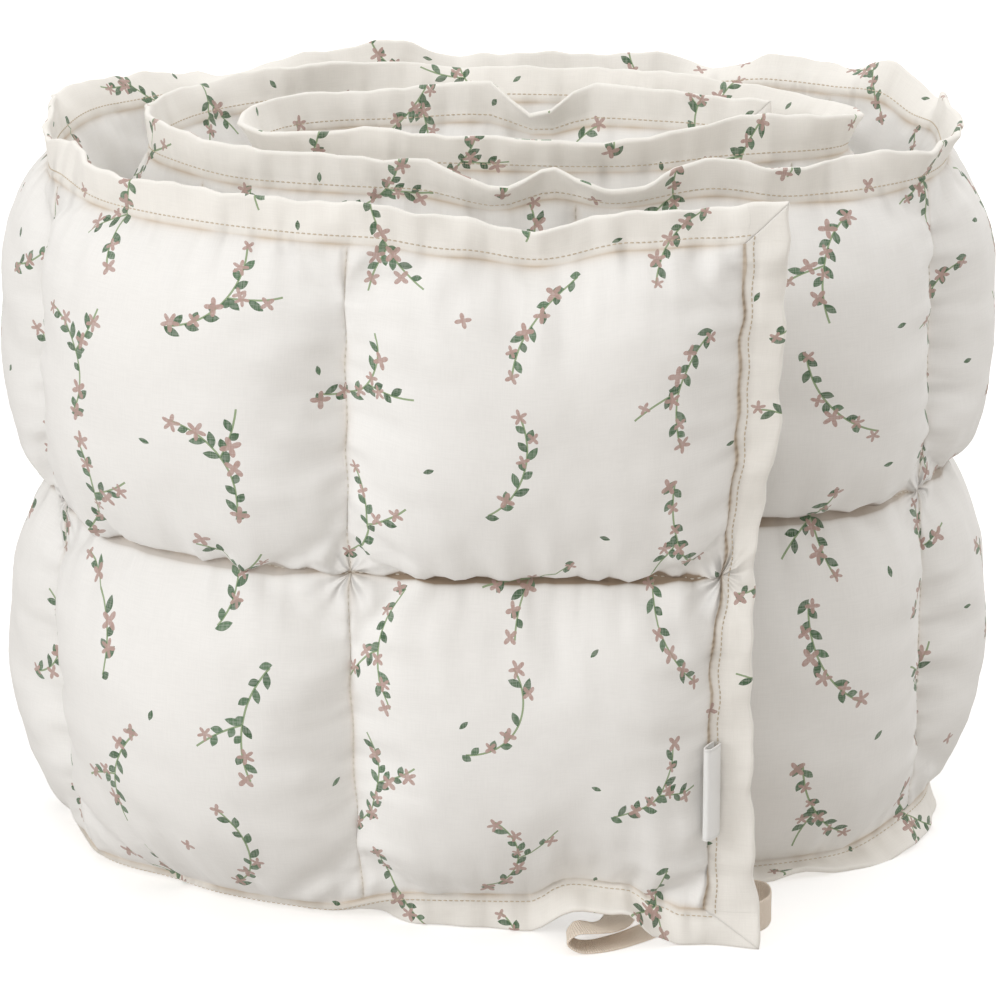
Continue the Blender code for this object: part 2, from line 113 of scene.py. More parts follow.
# The upper flange: distance along the panel, lean in degrees, rise of its seam, peak of its edge.
UPPER_FLANGE = (
    (0.000, 12, 0.0015, 0.000),
    (0.030, -2, -0.0010, 0.000),
    (0.058, 8, -0.0030, 0.000),
    (0.094, 16, -0.0095, 0.000),
    (0.124, 4, -0.0060, 0.000),
    (0.160, -6, -0.0020, 0.000),
    (0.235, 0, -0.0010, 0.000),
    (0.275, 14, -0.0010, 0.000),
    (0.312, -24, 0.0000, 0.001),
    (0.345, 6, -0.0030, 0.000),
    (0.385, 14, 0.0000, 0.001),
    (0.420, 38, 0.0010, 0.001),
    (0.460, 44, -0.0010, 0.000),
    (0.500, 72, -0.0030, 0.000),
    (0.545, 34, -0.0030, 0.000),
    (0.577, 10, 0.0005, 0.000),
    (0.602, 34, -0.0060, 0.000),
    (0.650, 20, -0.0060, 0.000),
    (0.686, 18, -0.0050, 0.000),
    (0.712, 78, -0.0040, 0.000),
    (0.739, 52, -0.0010, 0.000),
    (0.764, 56, -0.0010, 0.000),
    (0.791, 34, 0.0005, 0.001),
    (0.816, 56, -0.0045, 0.000),
    (0.846, 12, -0.0020, 0.001),
    (0.879, 26, -0.0040, 0.000),
    (0.922, 26, -0.0040, 0.000),
    (0.958, -24, -0.0050, 0.002),
    (0.984, 16, -0.0040, 0.000),
    (1.016, 6, 0.0000, 0.000),
    (1.055, 64, -0.0045, 0.000),
    (1.078, 22, -0.0010, 0.000),
    (1.100, 56, -0.0060, 0.000),
    (1.134, 4, -0.0010, 0.000),
    (1.199, 10, -0.0010, 0.000),
    (1.244, -4, 0.0015, 0.001),
    (1.294, 20, 0.0000, 0.000),
    (1.350, 30, 0.0000, 0.000),
    (1.385, -14, 0.0010, 0.002),
    (1.440, 34, 0.0000, 0.000),
    (1.520, 22, 0.0010, 0.000),
    (1.600, 44, 0.0000, 0.000),
    (1.690, -8, 0.0020, 0.003),
    (1.740, 36, 0.0000, 0.000),
    (1.830, 12, 0.0010, 0.000),
    (1.900, 30, 0.0000, 0.000),
    (1.975, 4, -0.0010, 0.000),
    (2.018, -2, 0.0010, 0.002),
    (2.042, -44, -0.0040, 0.000),
    (2.066, 0, 0.0010, 0.002),
    (2.100, 14, 0.0010, 0.000),
    (2.140, 10, 0.0000, 0.000),
)

# The lower flange: distance along the panel, turn in degrees, lift off the floor, inset.
LOWER_FLANGE = (
    (0.000, 4, 0.0000, 0.000),
    (0.028, 10, 0.0000, 0.002),
    (0.040, 34, 0.0030, 0.006),
    (0.056, 62, 0.0115, 0.011),
    (0.078, 58, 0.0115, 0.014),
    (0.096, 6, 0.0000, 0.014),
    (0.132, -14, 0.0000, 0.015),
    (0.186, -90, 0.0000, 0.023),
    (0.260, -90, 0.0000, 0.021),
    (0.320, -90, 0.0000, 0.006),
    (0.380, -90, 0.0000, 0.000),
    (0.440, -90, 0.0000, 0.000),
    (0.560, -30, 0.0000, 0.004),
    (0.680, 10, 0.0000, 0.006),
    (0.800, -40, 0.0000, 0.000),
    (0.900, 20, 0.0000, 0.000),
    (0.960, 90, 0.0000, 0.004),
    (1.060, 90, 0.0000, 0.000),
    (1.140, 20, 0.0000, 0.000),
    (1.400, -25, 0.0000, 0.000),
    (1.600, 15, 0.0000, 0.000),
    (1.850, -20, 0.0000, 0.000),
    (2.140, 20, 0.0000, 0.000),
)

# The tape tie's middle line and the way its width points, end to end, in millimetres.
MILLIMETRE = 0.001
SHARP_ANGLE = np.radians(60.0)
TAPE_WIDTH = 0.013
TAPE_THICK = 0.0010
TAPE_ROUTE_MM = (
    (76.0, -166.4, 6.5, 0.00, 0.10, 1.0),
    (85.0, -166.4, 6.5, 0.00, 0.05, 1.0),
    (94.0, -163.0, 6.5, 0.00, 0.00, 1.0),
    (101.0, -157.5, 6.5, 0.00, 0.00, 1.0),
    (106.0, -151.0, 6.5, 0.00, 0.00, 1.0),
    (107.6, -143.5, 6.5, 0.00, 0.00, 1.0),
    (106.0, -136.8, 6.5, 0.00, 0.00, 1.0),
    (100.5, -133.0, 6.5, 0.00, -0.10, 1.0),
    (92.5, -132.0, 6.0, 0.00, -0.60, 1.0),
    (84.0, -133.5, 4.4, 0.00, -1.00, 0.7),
    (76.0, -137.5, 2.2, 0.50, -0.80, 0.25),
    (69.0, -144.0, 0.8, 0.70, -0.70, 0.05),
    (62.0, -152.0, 0.5, 0.74, -0.67, 0.0),
    (54.0, -160.5, 0.5, 0.68, -0.74, 0.0),
    (45.0, -167.5, 0.5, 0.50, -0.87, 0.0),
    (37.0, -171.5, 0.5, 0.26, -0.97, 0.0),
    (30.5, -173.0, 1.4, 0.08, -1.00, 0.0),
    (26.5, -173.5, 5.0, 0.00, -1.00, 0.0),
    (30.0, -173.0, 8.8, 0.08, -1.00, 0.0),
    (36.0, -171.0, 8.4, 0.40, -0.92, 0.0),
    (41.0, -166.5, 6.6, 0.75, -0.66, 0.0),
    (45.0, -159.0, 5.0, 0.90, -0.43, 0.0),
    (47.0, -150.0, 3.2, 0.97, -0.25, 0.0),
    (48.0, -142.0, 1.4, 0.99, -0.14, 0.0),
)
TAPE_STEPS = 14

# The tape's section: places across it as shares of its width, and its thickness there.
TAPE_ACROSS = (-0.5, -0.47, -0.40, -0.25, 0.0, 0.25, 0.40, 0.47, 0.5)
TAPE_THICKNESS = (0.35, 0.85, 1.0, 0.92, 0.88, 0.92, 1.0, 0.85, 0.35)
TAPE_EDGE_WANDER = 0.02
TAPE_WANDER_LENGTHS = (0.004, 0.0061, 0.011)

LABEL_ALONG_SEAM = 0.038
LABEL_REACH = 0.0095
LABEL_BESIDE_SEAM = 0.0030
LABEL_THICK = 0.0006
LABEL_OPENING = 0.0024
LABEL_LOW_Z = 0.049
LABEL_LEAN_DEG = 66
LABEL_GAP = 0.0004
LABEL_BOW = 0.0003
LABEL_LEAF_STEPS = 6
LABEL_FOLD_STEPS = 12
LABEL_ROWS = 20

# The cover's grid: lines across each flange by their distance from its edge, close together at
# the rounded rim and at the topstitch, and steps across a pillow.
TOPSTITCH_FROM_EDGE = 0.0125
FLANGE_LINES = (0.0, 0.00025, 0.0007, 0.0014, 0.0038, 0.0066, 0.0096, TOPSTITCH_FROM_EDGE, 0.0140)
TOPSTITCH_LINE = FLANGE_LINES.index(TOPSTITCH_FROM_EDGE)
DENSE_COLUMNS = 7
DENSE_STEPS = 44
SPARSE_STRIDE = 2
INNER_FIRST_COLUMN = 3
ROW_STEPS = 40
ROW_HEIGHT = 0.13525
PANEL_CUT_HEIGHT = 2 * (ROW_HEIGHT + FLANGE_WIDTH)

# The flange's thickness: a rounded rim, a raised band beside the seam and a groove at the
# topstitch. The cover is a little thinner there than the solid.
RIM_RADIUS = 0.0014
BAND_FROM_SEAM = 0.0015
BAND_HALF = 0.0008
BAND_RISE = 0.00045
TOPSTITCH_FROM_SEAM = 0.0030
GROOVE_HALF = 0.0007
GROOVE_DEPTH = 0.00045
FLANGE_TRIM = 0.0002

# The cloth simulation of the cover.
COVER_FRAMES = 24
COVER_PRESSURE = 150.0
COVER_MASS = 0.05
COVER_TENSION = 15.0
COVER_BENDING = 6.0
COVER_UNEVEN = 0.0006
COVER_UNEVEN_LENGTHS = (0.011, 0.017, 0.023, 0.031, 0.043)
COVER_SMOOTHING = 1

# Puckers across the seams, uneven filling, the filling that stays in the seams between columns,
# the two rows pressed together, and seams and edges that wander.
CROWN_POWER = 0.85
PUCKER_LENGTHS = (0.0125, 0.017, 0.024, 0.035)
PUCKER_LEAN = 0.4
PUCKER_REACH = 0.013
PUCKER_SHARE = 0.50
SOFT_LENGTHS = (0.038, 0.055, 0.07, 0.09, 0.13)
SEAM_FILLING = 0.0032
UPPER_PRESS = 0.020
LOWER_PRESS = 0.011
PRESS_REACH = 0.014
FLANGE_WAVE_LENGTHS = (0.021, 0.029, 0.043, 0.061)
SEAM_WANDER = 0.0011
SEAM_WANDER_LENGTHS = (0.011, 0.017, 0.029)
SEAM_WANDER_REACH = 0.005
EDGE_WANDER = 0.0016
EDGE_WANDER_LENGTHS = (0.015, 0.023, 0.037, 0.059)


def eased(at, known_at, known):
    """Values between the rows of a table, easing in and out of each row as a cosine does."""
    row = np.clip(np.searchsorted(known_at, at, side="right") - 1, 0, len(known_at) - 2)
    share = (at - known_at[row]) / (known_at[row + 1] - known_at[row])
    share = 0.5 - 0.5 * np.cos(np.pi * np.clip(share, 0.0, 1.0))
    return known[row] + (known[row + 1] - known[row]) * share


def eased_columns(at, table):
    """Each later column of a table, at places that lie between those of its first column."""
    known_at, *columns = np.array(table, dtype=float).T
    return [eased(at, known_at, column) for column in columns]


def from_nearest(values, pitch):
    """Distances from the nearest multiple of the pitch."""
    return pitch * np.abs((values / pitch + 0.5) % 1.0 - 0.5)


def reached_along(line):
    """How far each point lies along a line of points."""
    steps = np.linalg.norm(np.diff(line, axis=0), axis=1)
    return np.concatenate(([0.0], np.cumsum(steps)))


def quarter(start, end, squareness, along_x_first):
    """A quarter of a superellipse from start to end: one coordinate runs with the sine of the
    turn raised to 2 / squareness, and the other with its cosine raised to the same power."""
    turn = np.linspace(0.0, np.pi / 2, QUARTER_SAMPLES)
    leaving = np.sin(turn) ** (2.0 / squareness)
    staying = np.cos(turn).clip(0.0) ** (2.0 / squareness)
    moved, kept = (0, 1) if along_x_first else (1, 0)
    points = np.empty((QUARTER_SAMPLES, 2))
    points[:, moved] = start[moved] + (end[moved] - start[moved]) * leaving
    points[:, kept] = end[kept] + (start[kept] - end[kept]) * staying
    return points


def end_run(tip, front):
    """A free end: from tip to front along a parabola that is level with X at front."""
    x = np.linspace(tip[0], front[0], QUARTER_SAMPLES)
    share = (x - front[0]) / (tip[0] - front[0])
    return np.column_stack((x, front[1] + (tip[1] - front[1]) * share**2))


def roll_line():
    """The flange line from the flap's edge to the inner end, as points and their distances."""
    stations = [row[:2] for row in ROLL]
    runs = [end_run(FLAP_END, stations[0])]
    for number in range(1, len(ROLL)):
        start, end = stations[number - 1], stations[number]
        runs.append(quarter(start, end, ROLL[number][2], number % 2 == 1))
    runs.append(end_run(INNER_END, stations[-1])[::-1])
    points = np.vstack([runs[0]] + [run[1:] for run in runs[1:]])
    return points, reached_along(points)


def line_at(along, points, distances):
    """Place, tangent, outward normal and radius of bend at distances along the flange line."""

    def place(at):
        return np.column_stack([np.interp(at, distances, points[:, k]) for k in (0, 1)])

    ahead = place(np.minimum(along + BEND_WINDOW / 2, PANEL_LENGTH))
    behind = place(np.maximum(along - BEND_WINDOW / 2, 0.0))
    tangent = ahead - behind
    tangent /= np.linalg.norm(tangent, axis=1, keepdims=True)
    normal = np.column_stack((-tangent[:, 1], tangent[:, 0]))
    early = place(np.maximum(along - BEND_WINDOW, 0.0))
    late = place(np.minimum(along + BEND_WINDOW, PANEL_LENGTH))
    middle = place(along)
    rise = np.einsum("ij,ij->i", middle - (early + late) / 2, normal)
    half_chord = np.linalg.norm(late - early, axis=1) / 2
    radius = half_chord**2 / (2 * np.maximum(rise, 1e-5))
    return middle, tangent, normal, radius


def seam_shares(steps):
    """Shares from 0 to 1 across a pillow, halfway between even steps and a cosine's."""
    even = np.arange(steps + 1) / steps
    return 0.5 * even + 0.5 * (0.5 - 0.5 * np.cos(np.pi * even))


def rolling(x, y, lengths, seed):
    """Smooth unevenness from -1 to 1: the mean of one sine wave for each wavelength, each at
    its own angle to x."""
    draw = np.random.default_rng(seed)
    total = np.zeros(np.broadcast(x, y).shape)
    for length in lengths:
        heading, phase = draw.uniform(0.0, 2 * np.pi, 2)
        total += np.sin(2 * np.pi * (x * np.cos(heading) + y * np.sin(heading)) / length + phase)
    return total / len(lengths)


def quad_faces(grid):
    return np.stack((grid[:-1, :-1], grid[1:, :-1], grid[1:, 1:], grid[:-1, 1:]), axis=-1)


def new_mesh_object(name, vertices, faces, uv_maps=()):
    """A smooth mesh from arrays, with a UV map for each (name, loop coordinates) pair."""
    mesh = bpy.data.meshes.new(name)
    mesh.from_pydata(vertices.tolist(), [], faces.tolist())
    for map_name, coordinates in uv_maps:
        layer = mesh.uv_layers.new(name=map_name)
        layer.data.foreach_set("uv", coordinates.astype(np.float32).ravel())
    mesh.shade_smooth()
    obj = bpy.data.objects.new(name, mesh)
    bpy.context.scene.collection.objects.link(obj)
    return obj


def dressed(obj, material, node=None):
    """Finishes a piece: its material, the body it rides on, and the node it hides."""
    obj.data.materials.append(material)
    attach(obj, "root")
    if node:
        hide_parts(node)
    return obj


# ---------------------------------------------------------------------------------------------
# The cover


def flat_cover():
    """The flat cover of the dense columns: its two axes, and which of their lines are seams."""
    column = seam_shares(DENSE_STEPS)
    row = seam_shares(ROW_STEPS)
    across = [COLUMN_PITCH * (k + column[1:]) for k in range(DENSE_COLUMNS)]
    up = [ROW_HEIGHT * (k + row[1:]) for k in range(2)]
    along = np.concatenate([[0.0]] + across)
    height = np.concatenate([[0.0]] + up)
    seam_along = np.arange(len(along)) % DENSE_STEPS == 0
    seam_height = np.arange(len(height)) % ROW_STEPS == 0
    return along, height, seam_along, seam_height


def smoothed(field, held, rounds):
    """The mean of each value with its eight neighbours, in which it counts four times, those
    beside it twice and those at its corners once. The held lines are kept at nothing."""
    for _ in range(rounds):
        wide = np.pad(field, 1, mode="edge")
        down = wide[:-2] + 2 * wide[1:-1] + wide[2:]
        field = (down[:, :-2] + 2 * down[:, 1:-1] + down[:, 2:]) / 16
        field = np.where(held, 0.0, field)
    return field


def simulated_cover(growth):
    """Relief and drift of the cover. A flat sheet that is held along its seams grows by a share
    of its size, as cloth that is cut larger than its quilting, and a pressure lifts it."""
    along, height, seam_along, seam_height = flat_cover()
    held = seam_along[:, None] | seam_height[None, :]
    x, y = np.meshgrid(along, height, indexing="ij")
    uneven = COVER_UNEVEN * rolling(x, y, COVER_UNEVEN_LENGTHS, seed=5)
    flat = np.stack((x, y, np.where(held, 0.0, uneven + COVER_UNEVEN)), axis=-1)
    index = np.arange(flat[..., 0].size).reshape(held.shape)
    cover = new_mesh_object("cover_sheet", flat.reshape(-1, 3), quad_faces(index).reshape(-1, 4))
    group = cover.vertex_groups.new(name="seams")
    group.add(np.flatnonzero(held).tolist(), 1.0, "REPLACE")
    cloth = cover.modifiers.new("cloth", "CLOTH")
    settings = cloth.settings
    settings.quality = 5
    settings.mass = COVER_MASS
    settings.tension_stiffness = COVER_TENSION
    settings.compression_stiffness = COVER_TENSION
    settings.shear_stiffness = COVER_TENSION / 3
    settings.bending_stiffness = COVER_BENDING
    settings.vertex_group_mass = group.name
    settings.shrink_min = -growth
    settings.use_pressure = True
    settings.uniform_pressure_force = COVER_PRESSURE
    settings.effector_weights.gravity = 0.0
    cloth.collision_settings.use_collision = False
    cloth.point_cache.frame_start = 1
    cloth.point_cache.frame_end = COVER_FRAMES
    scene = bpy.context.scene
    for number in range(1, COVER_FRAMES + 1):
        scene.frame_set(number)
    blown = cover.evaluated_get(bpy.context.evaluated_depsgraph_get()).to_mesh()
    places = np.empty(flat.size, dtype=np.float32)
    blown.vertices.foreach_get("co", places)
    bpy.data.objects.remove(cover)
    scene.frame_set(1)
    moved = places.reshape(flat.shape).astype(float) - np.stack((x, y, np.zeros_like(x)), axis=-1)
    fields = [smoothed(moved[..., k], held, COVER_SMOOTHING) for k in range(3)]
    return fields[2], fields[0], fields[1]


def ridges(along_seam, across_seam, seed):
    """Ridges from -1 to 1 that run across a seam: the mean of one sine wave along the seam for
    each of the puckers' wavelengths, each leaning a little to one side."""
    draw = np.random.default_rng(seed)
    total = np.zeros_like(along_seam)
    for length in PUCKER_LENGTHS:
        lean = draw.uniform(-PUCKER_LEAN, PUCKER_LEAN)
        phase = draw.uniform(0.0, 2 * np.pi)
        total += np.sin(2 * np.pi * (along_seam + lean * across_seam) / length + phase)
    return total / len(PUCKER_LENGTHS)


def puckered(relief):
    """The relief to a power below one, which makes it steeper at its seams, times one plus its
    ridges, which fade with the distance from each seam as an exponential does."""
    along, height, _, _ = flat_cover()
    x, y = np.meshgrid(along, height, indexing="ij")
    ridge = ridges(y, x, seed=11) * np.exp(-from_nearest(x, COLUMN_PITCH) / PUCKER_REACH)
    ridge += ridges(x, y, seed=12) * np.exp(-from_nearest(y, ROW_HEIGHT) / PUCKER_REACH)
    return relief.clip(0.0) ** CROWN_POWER * (1 + PUCKER_SHARE * ridge)


def cover_relief(growth):
    """The cover's relief as a share of its mean crown, and its drift in metres."""
    relief, drift_along, drift_up = simulated_cover(growth)
    pillows = [
        relief[DENSE_STEPS * c : DENSE_STEPS * (c + 1), ROW_STEPS * r : ROW_STEPS * (r + 1)].max()
        for c in range(DENSE_COLUMNS)
        for r in range(2)
    ]
    return puckered(relief / np.mean(pillows)), drift_along, drift_up


def laid_along_roll(field, first, backwards, sign=1.0):
    """A field of the cover's columns for all the panel's columns: the dense columns in turn
    from first, then the same ones turned end for end with a line in two left out."""
    parts = []
    for column in range(COLUMNS):
        source = (first + column) % DENSE_COLUMNS
        part = field[DENSE_STEPS * source : DENSE_STEPS * (source + 1) + 1]
        if backwards != (column >= DENSE_COLUMNS):
            part = sign * part[::-1]
        if column >= DENSE_COLUMNS:
            part = part[::SPARSE_STRIDE]
        parts.append(part if column == 0 else part[1:])
    return np.concatenate(parts)


# ---------------------------------------------------------------------------------------------
# The panel


def along_lines():
    """Distances along the panel of the grid's lines, from the flap's edge to the inner end."""
    shares = seam_shares(DENSE_STEPS)
    edge = np.array(FLANGE_LINES)
    runs = [edge, [FLANGE_WIDTH]]
    for column in range(COLUMNS):
        stride = 1 if column < DENSE_COLUMNS else SPARSE_STRIDE
        runs.append(FLANGE_WIDTH + COLUMN_PITCH * (column + shares[::stride][1:]))
    runs.append(PANEL_LENGTH - edge[::-1])
    return np.concatenate(runs)


def swell_amounts(along, radius):
    """How far the pillows swell outward and inward: fullest outside on the outer turn, inside
    on the free flap and round the roll's open core, and never more than a share of the radius
    on the inside of a bend."""
    fade = np.clip((along - SWELL_FADE_START) / (SWELL_FADE_END - SWELL_FADE_START), 0.0, 1.0)
    fade = fade * fade * (3 - 2 * fade)
    outward = OUTER_SWELL + (INNER_SWELL - OUTER_SWELL) * fade
    inward = np.where(along > CORE_FROM, CORE_SWELL, INNER_SWELL)
    inward += (FLAP_SWELL - INNER_SWELL) * np.exp(-((along / FLAP_REACH) ** 4))
    inward = np.minimum(inward, BEND_SHARE * radius)
    return outward, inward


def running_sum(values, at):
    """The integral of values from the first place to each place, by the trapezoid rule."""
    steps = np.diff(at)[None, :] * (values[:, 1:] + values[:, :-1]) / 2
    return np.concatenate((np.zeros((len(values), 1)), np.cumsum(steps, axis=1)), axis=1)


def bent_strip(turn, quickness):
    """The flange's lines beyond its seam: how far each is out and away from the seam, and its
    angle, which grows evenly to the whole turn over one part in quickness of the width."""
    beyond = np.concatenate(([0.0], FLANGE_WIDTH - np.array(FLANGE_LINES)[::-1]))
    angle = turn[:, None] * np.minimum(quickness * beyond / FLANGE_WIDTH, 1.0)[None, :]
    out = running_sum(np.sin(angle), beyond)[:, 1:]
    away = running_sum(np.cos(angle), beyond)[:, 1:]
    return out, away, angle[:, 1:]


def upright(normal, out, up):
    """Vectors with an outward part, along each place's level normal, and an upward one."""
    return np.concatenate((out[:, :, None] * normal[:, None, :], up[:, :, None]), axis=2)


def lower_flange(along, normal):
    """The lower flange's middle from its edge to its last line before the seam. It turns
    outward over its first third below the seam, and the seam is as high as it needs."""
    turn, lift, inset = eased_columns(along, LOWER_FLANGE)
    turn = np.radians(turn)
    out, down, angle = bent_strip(turn, quickness=3)
    seam_z = np.maximum(down[:, -1] + np.abs(np.sin(turn)) * FLANGE_THICK / 2 + lift, 0.0)
    centre = upright(normal, out, seam_z[:, None] - down)
    facing = upright(normal, np.cos(angle), np.sin(angle))
    return seam_z, inset, centre[:, ::-1], facing[:, ::-1]


def upper_flange(along, normal):
    """The upper flange's middle from its first line past the seam to its edge. It leans
    outward by a table's angle, reached a quarter of the way up."""
    lean, rise, peak = eased_columns(along, UPPER_FLANGE)
    out, up, angle = bent_strip(np.radians(lean), quickness=4)
    reach = 1 + peak[:, None] / FLANGE_WIDTH
    seam_z = TOP_SEAM_Z + rise
    centre = upright(normal, reach * out, seam_z[:, None] + reach * up)
    return seam_z, centre, upright(normal, np.cos(angle), -np.sin(angle))


def flap_drift(along, z):
    """How far each point near the flap's end is drifted along the roll: between the edge's and
    the seam's amounts across the flange, then fading over the first column."""
    edge, seam = eased_columns(z, FLAP_DRIFT)
    share = np.clip(along / FLANGE_WIDTH, 0.0, 1.0)[:, None]
    past_seam = np.clip((along - FLANGE_WIDTH) / FLAP_DRIFT_REACH, 0.0, 1.0)[:, None]
    return (edge + (seam - edge) * share) * (1 - past_seam) ** 2


def half_thickness(from_edge, edge_half, seam_half):
    """Half the cover's thickness by the distance from its edge: a quarter round at the rim, a
    raised band beside the seam, and grooves at the topstitch and at the seam itself."""
    from_seam = FLANGE_WIDTH - from_edge
    rim = np.sqrt(1 - (1 - np.clip(from_edge / RIM_RADIUS, 0.0, 1.0)) ** 2)
    band = BAND_RISE * np.exp(-(((from_seam - BAND_FROM_SEAM) / BAND_HALF) ** 2))
    groove = GROOVE_DEPTH * np.exp(-(((from_seam - TOPSTITCH_FROM_SEAM) / GROOVE_HALF) ** 2))
    flange = edge_half * rim + band - groove
    return np.where(from_seam <= 0, seam_half, flange)


def wandering(along, flat_up):
    """How far each point is shifted along the roll and up it, so that the seams and the edges
    aren't ruled lines: unevenness that is largest on the line itself. It fades from a seam as
    an exponential does, and from an edge as the square of the share left to the seam."""
    x, y = along[:, None], flat_up[None, :]
    from_column = from_nearest(x - FLANGE_WIDTH, COLUMN_PITCH)
    from_middle = np.abs(y - PANEL_CUT_HEIGHT / 2)
    from_end = np.minimum(x, PANEL_LENGTH - x)
    from_top = PANEL_CUT_HEIGHT - y
    shifts = []
    for seed, from_seam, from_edge in ((31, from_column, from_end), (33, from_middle, from_top)):
        seam = SEAM_WANDER * rolling(x, y, SEAM_WANDER_LENGTHS, seed)
        edge = EDGE_WANDER * rolling(x, y, EDGE_WANDER_LENGTHS, seed + 1)
        edge_share = (1 - from_edge / FLANGE_WIDTH).clip(0.0) ** 2
        shifts.append(seam * np.exp(-from_seam / SEAM_WANDER_REACH) + edge * edge_share)
    return shifts


def cover_middle(along, normal, share):
    """The cover's middle surface as parts out and up from the flange line, the direction in
    which its outer side faces, and how far the lower seam is drawn in."""
    low_z, inset, low_centre, low_facing = lower_flange(along, normal)
    high_z, high_centre, high_facing = upper_flange(along, normal)
    lower = low_z[:, None] + (MIDDLE_SEAM_Z - low_z)[:, None] * share
    upper = MIDDLE_SEAM_Z + (high_z - MIDDLE_SEAM_Z)[:, None] * share[1:]
    height = np.hstack((lower, upper))
    row_centre = upright(normal, np.zeros_like(height), height)
    row_facing = upright(normal, np.ones_like(height), np.zeros_like(height))
    centre = np.concatenate((low_centre, row_centre, high_centre), axis=1)
    facing = np.concatenate((low_facing, row_facing, high_facing), axis=1)
    return centre, facing, inset


def row_profiles(share, rows, flat_up):
    """What changes only with the height on the cover: the filling left in the seams between
    columns, the share of the sag, and how far the two rows are pressed together."""
    filling = SEAM_FILLING * np.sqrt(4 * (rows % 1.0) * (1 - rows % 1.0))
    sag = np.concatenate((share, 1 - share[1:]))
    from_middle = flat_up - PANEL_CUT_HEIGHT / 2
    press = np.where(from_middle > 0, -UPPER_PRESS, LOWER_PRESS)
    press = press * np.exp(-np.abs(from_middle) / PRESS_REACH)
    return np.pad(filling, len(FLANGE_LINES)), np.pad(sag, len(FLANGE_LINES)), press


def panel_grids(quilt):
    """The cover's outer and inner grids of points, and the flat place of each grid point."""
    points, distances = roll_line()
    along = along_lines()
    place, tangent, normal, radius = line_at(along, points, distances)
    share = seam_shares(ROW_STEPS)
    rows = np.concatenate((share, 1 + share[1:]))
    edge = np.array(FLANGE_LINES)
    flat_up = np.concatenate((edge, FLANGE_WIDTH + ROW_HEIGHT * rows, PANEL_CUT_HEIGHT - edge[::-1]))
    x, y = along[:, None], flat_up[None, :]
    from_end = np.minimum(x, PANEL_LENGTH - x)
    from_edge = np.minimum(from_end, np.minimum(y, PANEL_CUT_HEIGHT - y))
    past_seam = np.clip(1 - from_edge / FLANGE_WIDTH, 0.0, 1.0)

    flange = len(FLANGE_LINES)
    centre, facing, inset = cover_middle(along, normal, share)
    drift = flap_drift(along, centre[:, :, 2])
    held_in = np.pad((1 - share) ** INSET_POWER, (flange, ROW_STEPS + flange), mode="edge")
    held_in[flange + ROW_STEPS :] = 0.0
    drawn_in = inset[:, None] * held_in
    wave = quilt.flange_wave * rolling(x, y, FLANGE_WAVE_LENGTHS, seed=3) * past_seam**2
    sideways, upward = wandering(along, flat_up)
    centre[:, :, :2] += place[:, None, :] - drawn_in[:, :, None] * normal[:, None, :]
    centre[:, :, :2] += sideways[:, :, None] * tangent[:, None, :]
    centre[:, :, 2] += upward
    centre += facing * wave[:, :, None]

    relief, drift_along, drift_up = cover_relief(quilt.cover_growth)
    half = half_thickness(from_edge, FLANGE_THICK / 2 - FLANGE_TRIM, quilt.seam_half)
    soft = 1 + quilt.softness * rolling(x, y, SOFT_LENGTHS, seed=8)
    filling, sag, press = row_profiles(share, rows, flat_up)
    filling = (from_end > FLANGE_WIDTH + 0.5 * COLUMN_PITCH).astype(float) * filling
    outward, inward = swell_amounts(along, radius)
    grids = []
    for side, amount, first in ((1.0, outward, 0), (-1.0, inward, INNER_FIRST_COLUMN)):
        fields = ((relief, 1.0), (drift_along, -1.0), (drift_up, 1.0))
        laid = [laid_along_roll(field, first, side < 0, sign) for field, sign in fields]
        swell, pull, rise = (np.pad(field, flange) for field in laid)
        fullness = (amount / OUTER_SWELL)[:, None]
        out = half + np.hypot(amount[:, None] * swell * soft, filling)
        grid = centre + side * facing * out[:, :, None]
        grid[:, :, :2] += (drift + pull * fullness)[:, :, None] * tangent[:, None, :]
        grid[:, :, 2] += rise * fullness - SAG * swell * sag
        grid[:, :, 2] += press * swell * fullness
        grid[:, :, :2] -= MIDDLE_OF_BASE
        grid[:, :, 2] = np.maximum(grid[:, :, 2], 0.0)
        grids.append(grid)
    return grids[0], grids[1], np.stack(np.broadcast_arrays(x, y), axis=-1)


def build_cover(outer, inner, flat, back_shift):
    """The closed cover from its two grids, which share their rim. The cloth map holds flat
    places in metres, and the print map the same with the inner side's moved along."""
    rows, columns = flat.shape[:2]
    outer_index = np.arange(rows * columns).reshape(rows, columns)
    inner_index = outer_index.copy()
    own = np.arange((rows - 2) * (columns - 2)).reshape(rows - 2, columns - 2)
    inner_index[1:-1, 1:-1] = rows * columns + own
    vertices = np.vstack((outer.reshape(-1, 3), inner[1:-1, 1:-1].reshape(-1, 3)))
    places = np.vstack((flat.reshape(-1, 2), flat[1:-1, 1:-1].reshape(-1, 2)))
    outer_faces = quad_faces(outer_index)[:, :, ::-1].reshape(-1, 4)
    inner_faces = quad_faces(inner_index).reshape(-1, 4)
    faces = np.vstack((outer_faces, inner_faces))
    cloth = places[faces.ravel()]
    printed = cloth.copy()
    printed[len(outer_faces) * 4 :] += back_shift
    return new_mesh_object("quilted_panel", vertices, faces, (("cloth", cloth), ("print", printed)))


# ---------------------------------------------------------------------------------------------
# Stitches

# The rings of a stitch: share of its length, height over the cloth, share of its thickness.
STITCH_RINGS = (
    (-0.5, -0.00016, 0.5),
    (-0.28, 0.00010, 1.0),
    (0.28, 0.00010, 1.0),
    (0.5, -0.00016, 0.5),
)
STITCH_SIDES = 4
STITCH_WIDE = 0.7
STITCH_HIGH = 0.6
QUILTING_PITCH_SHARE = 1.3


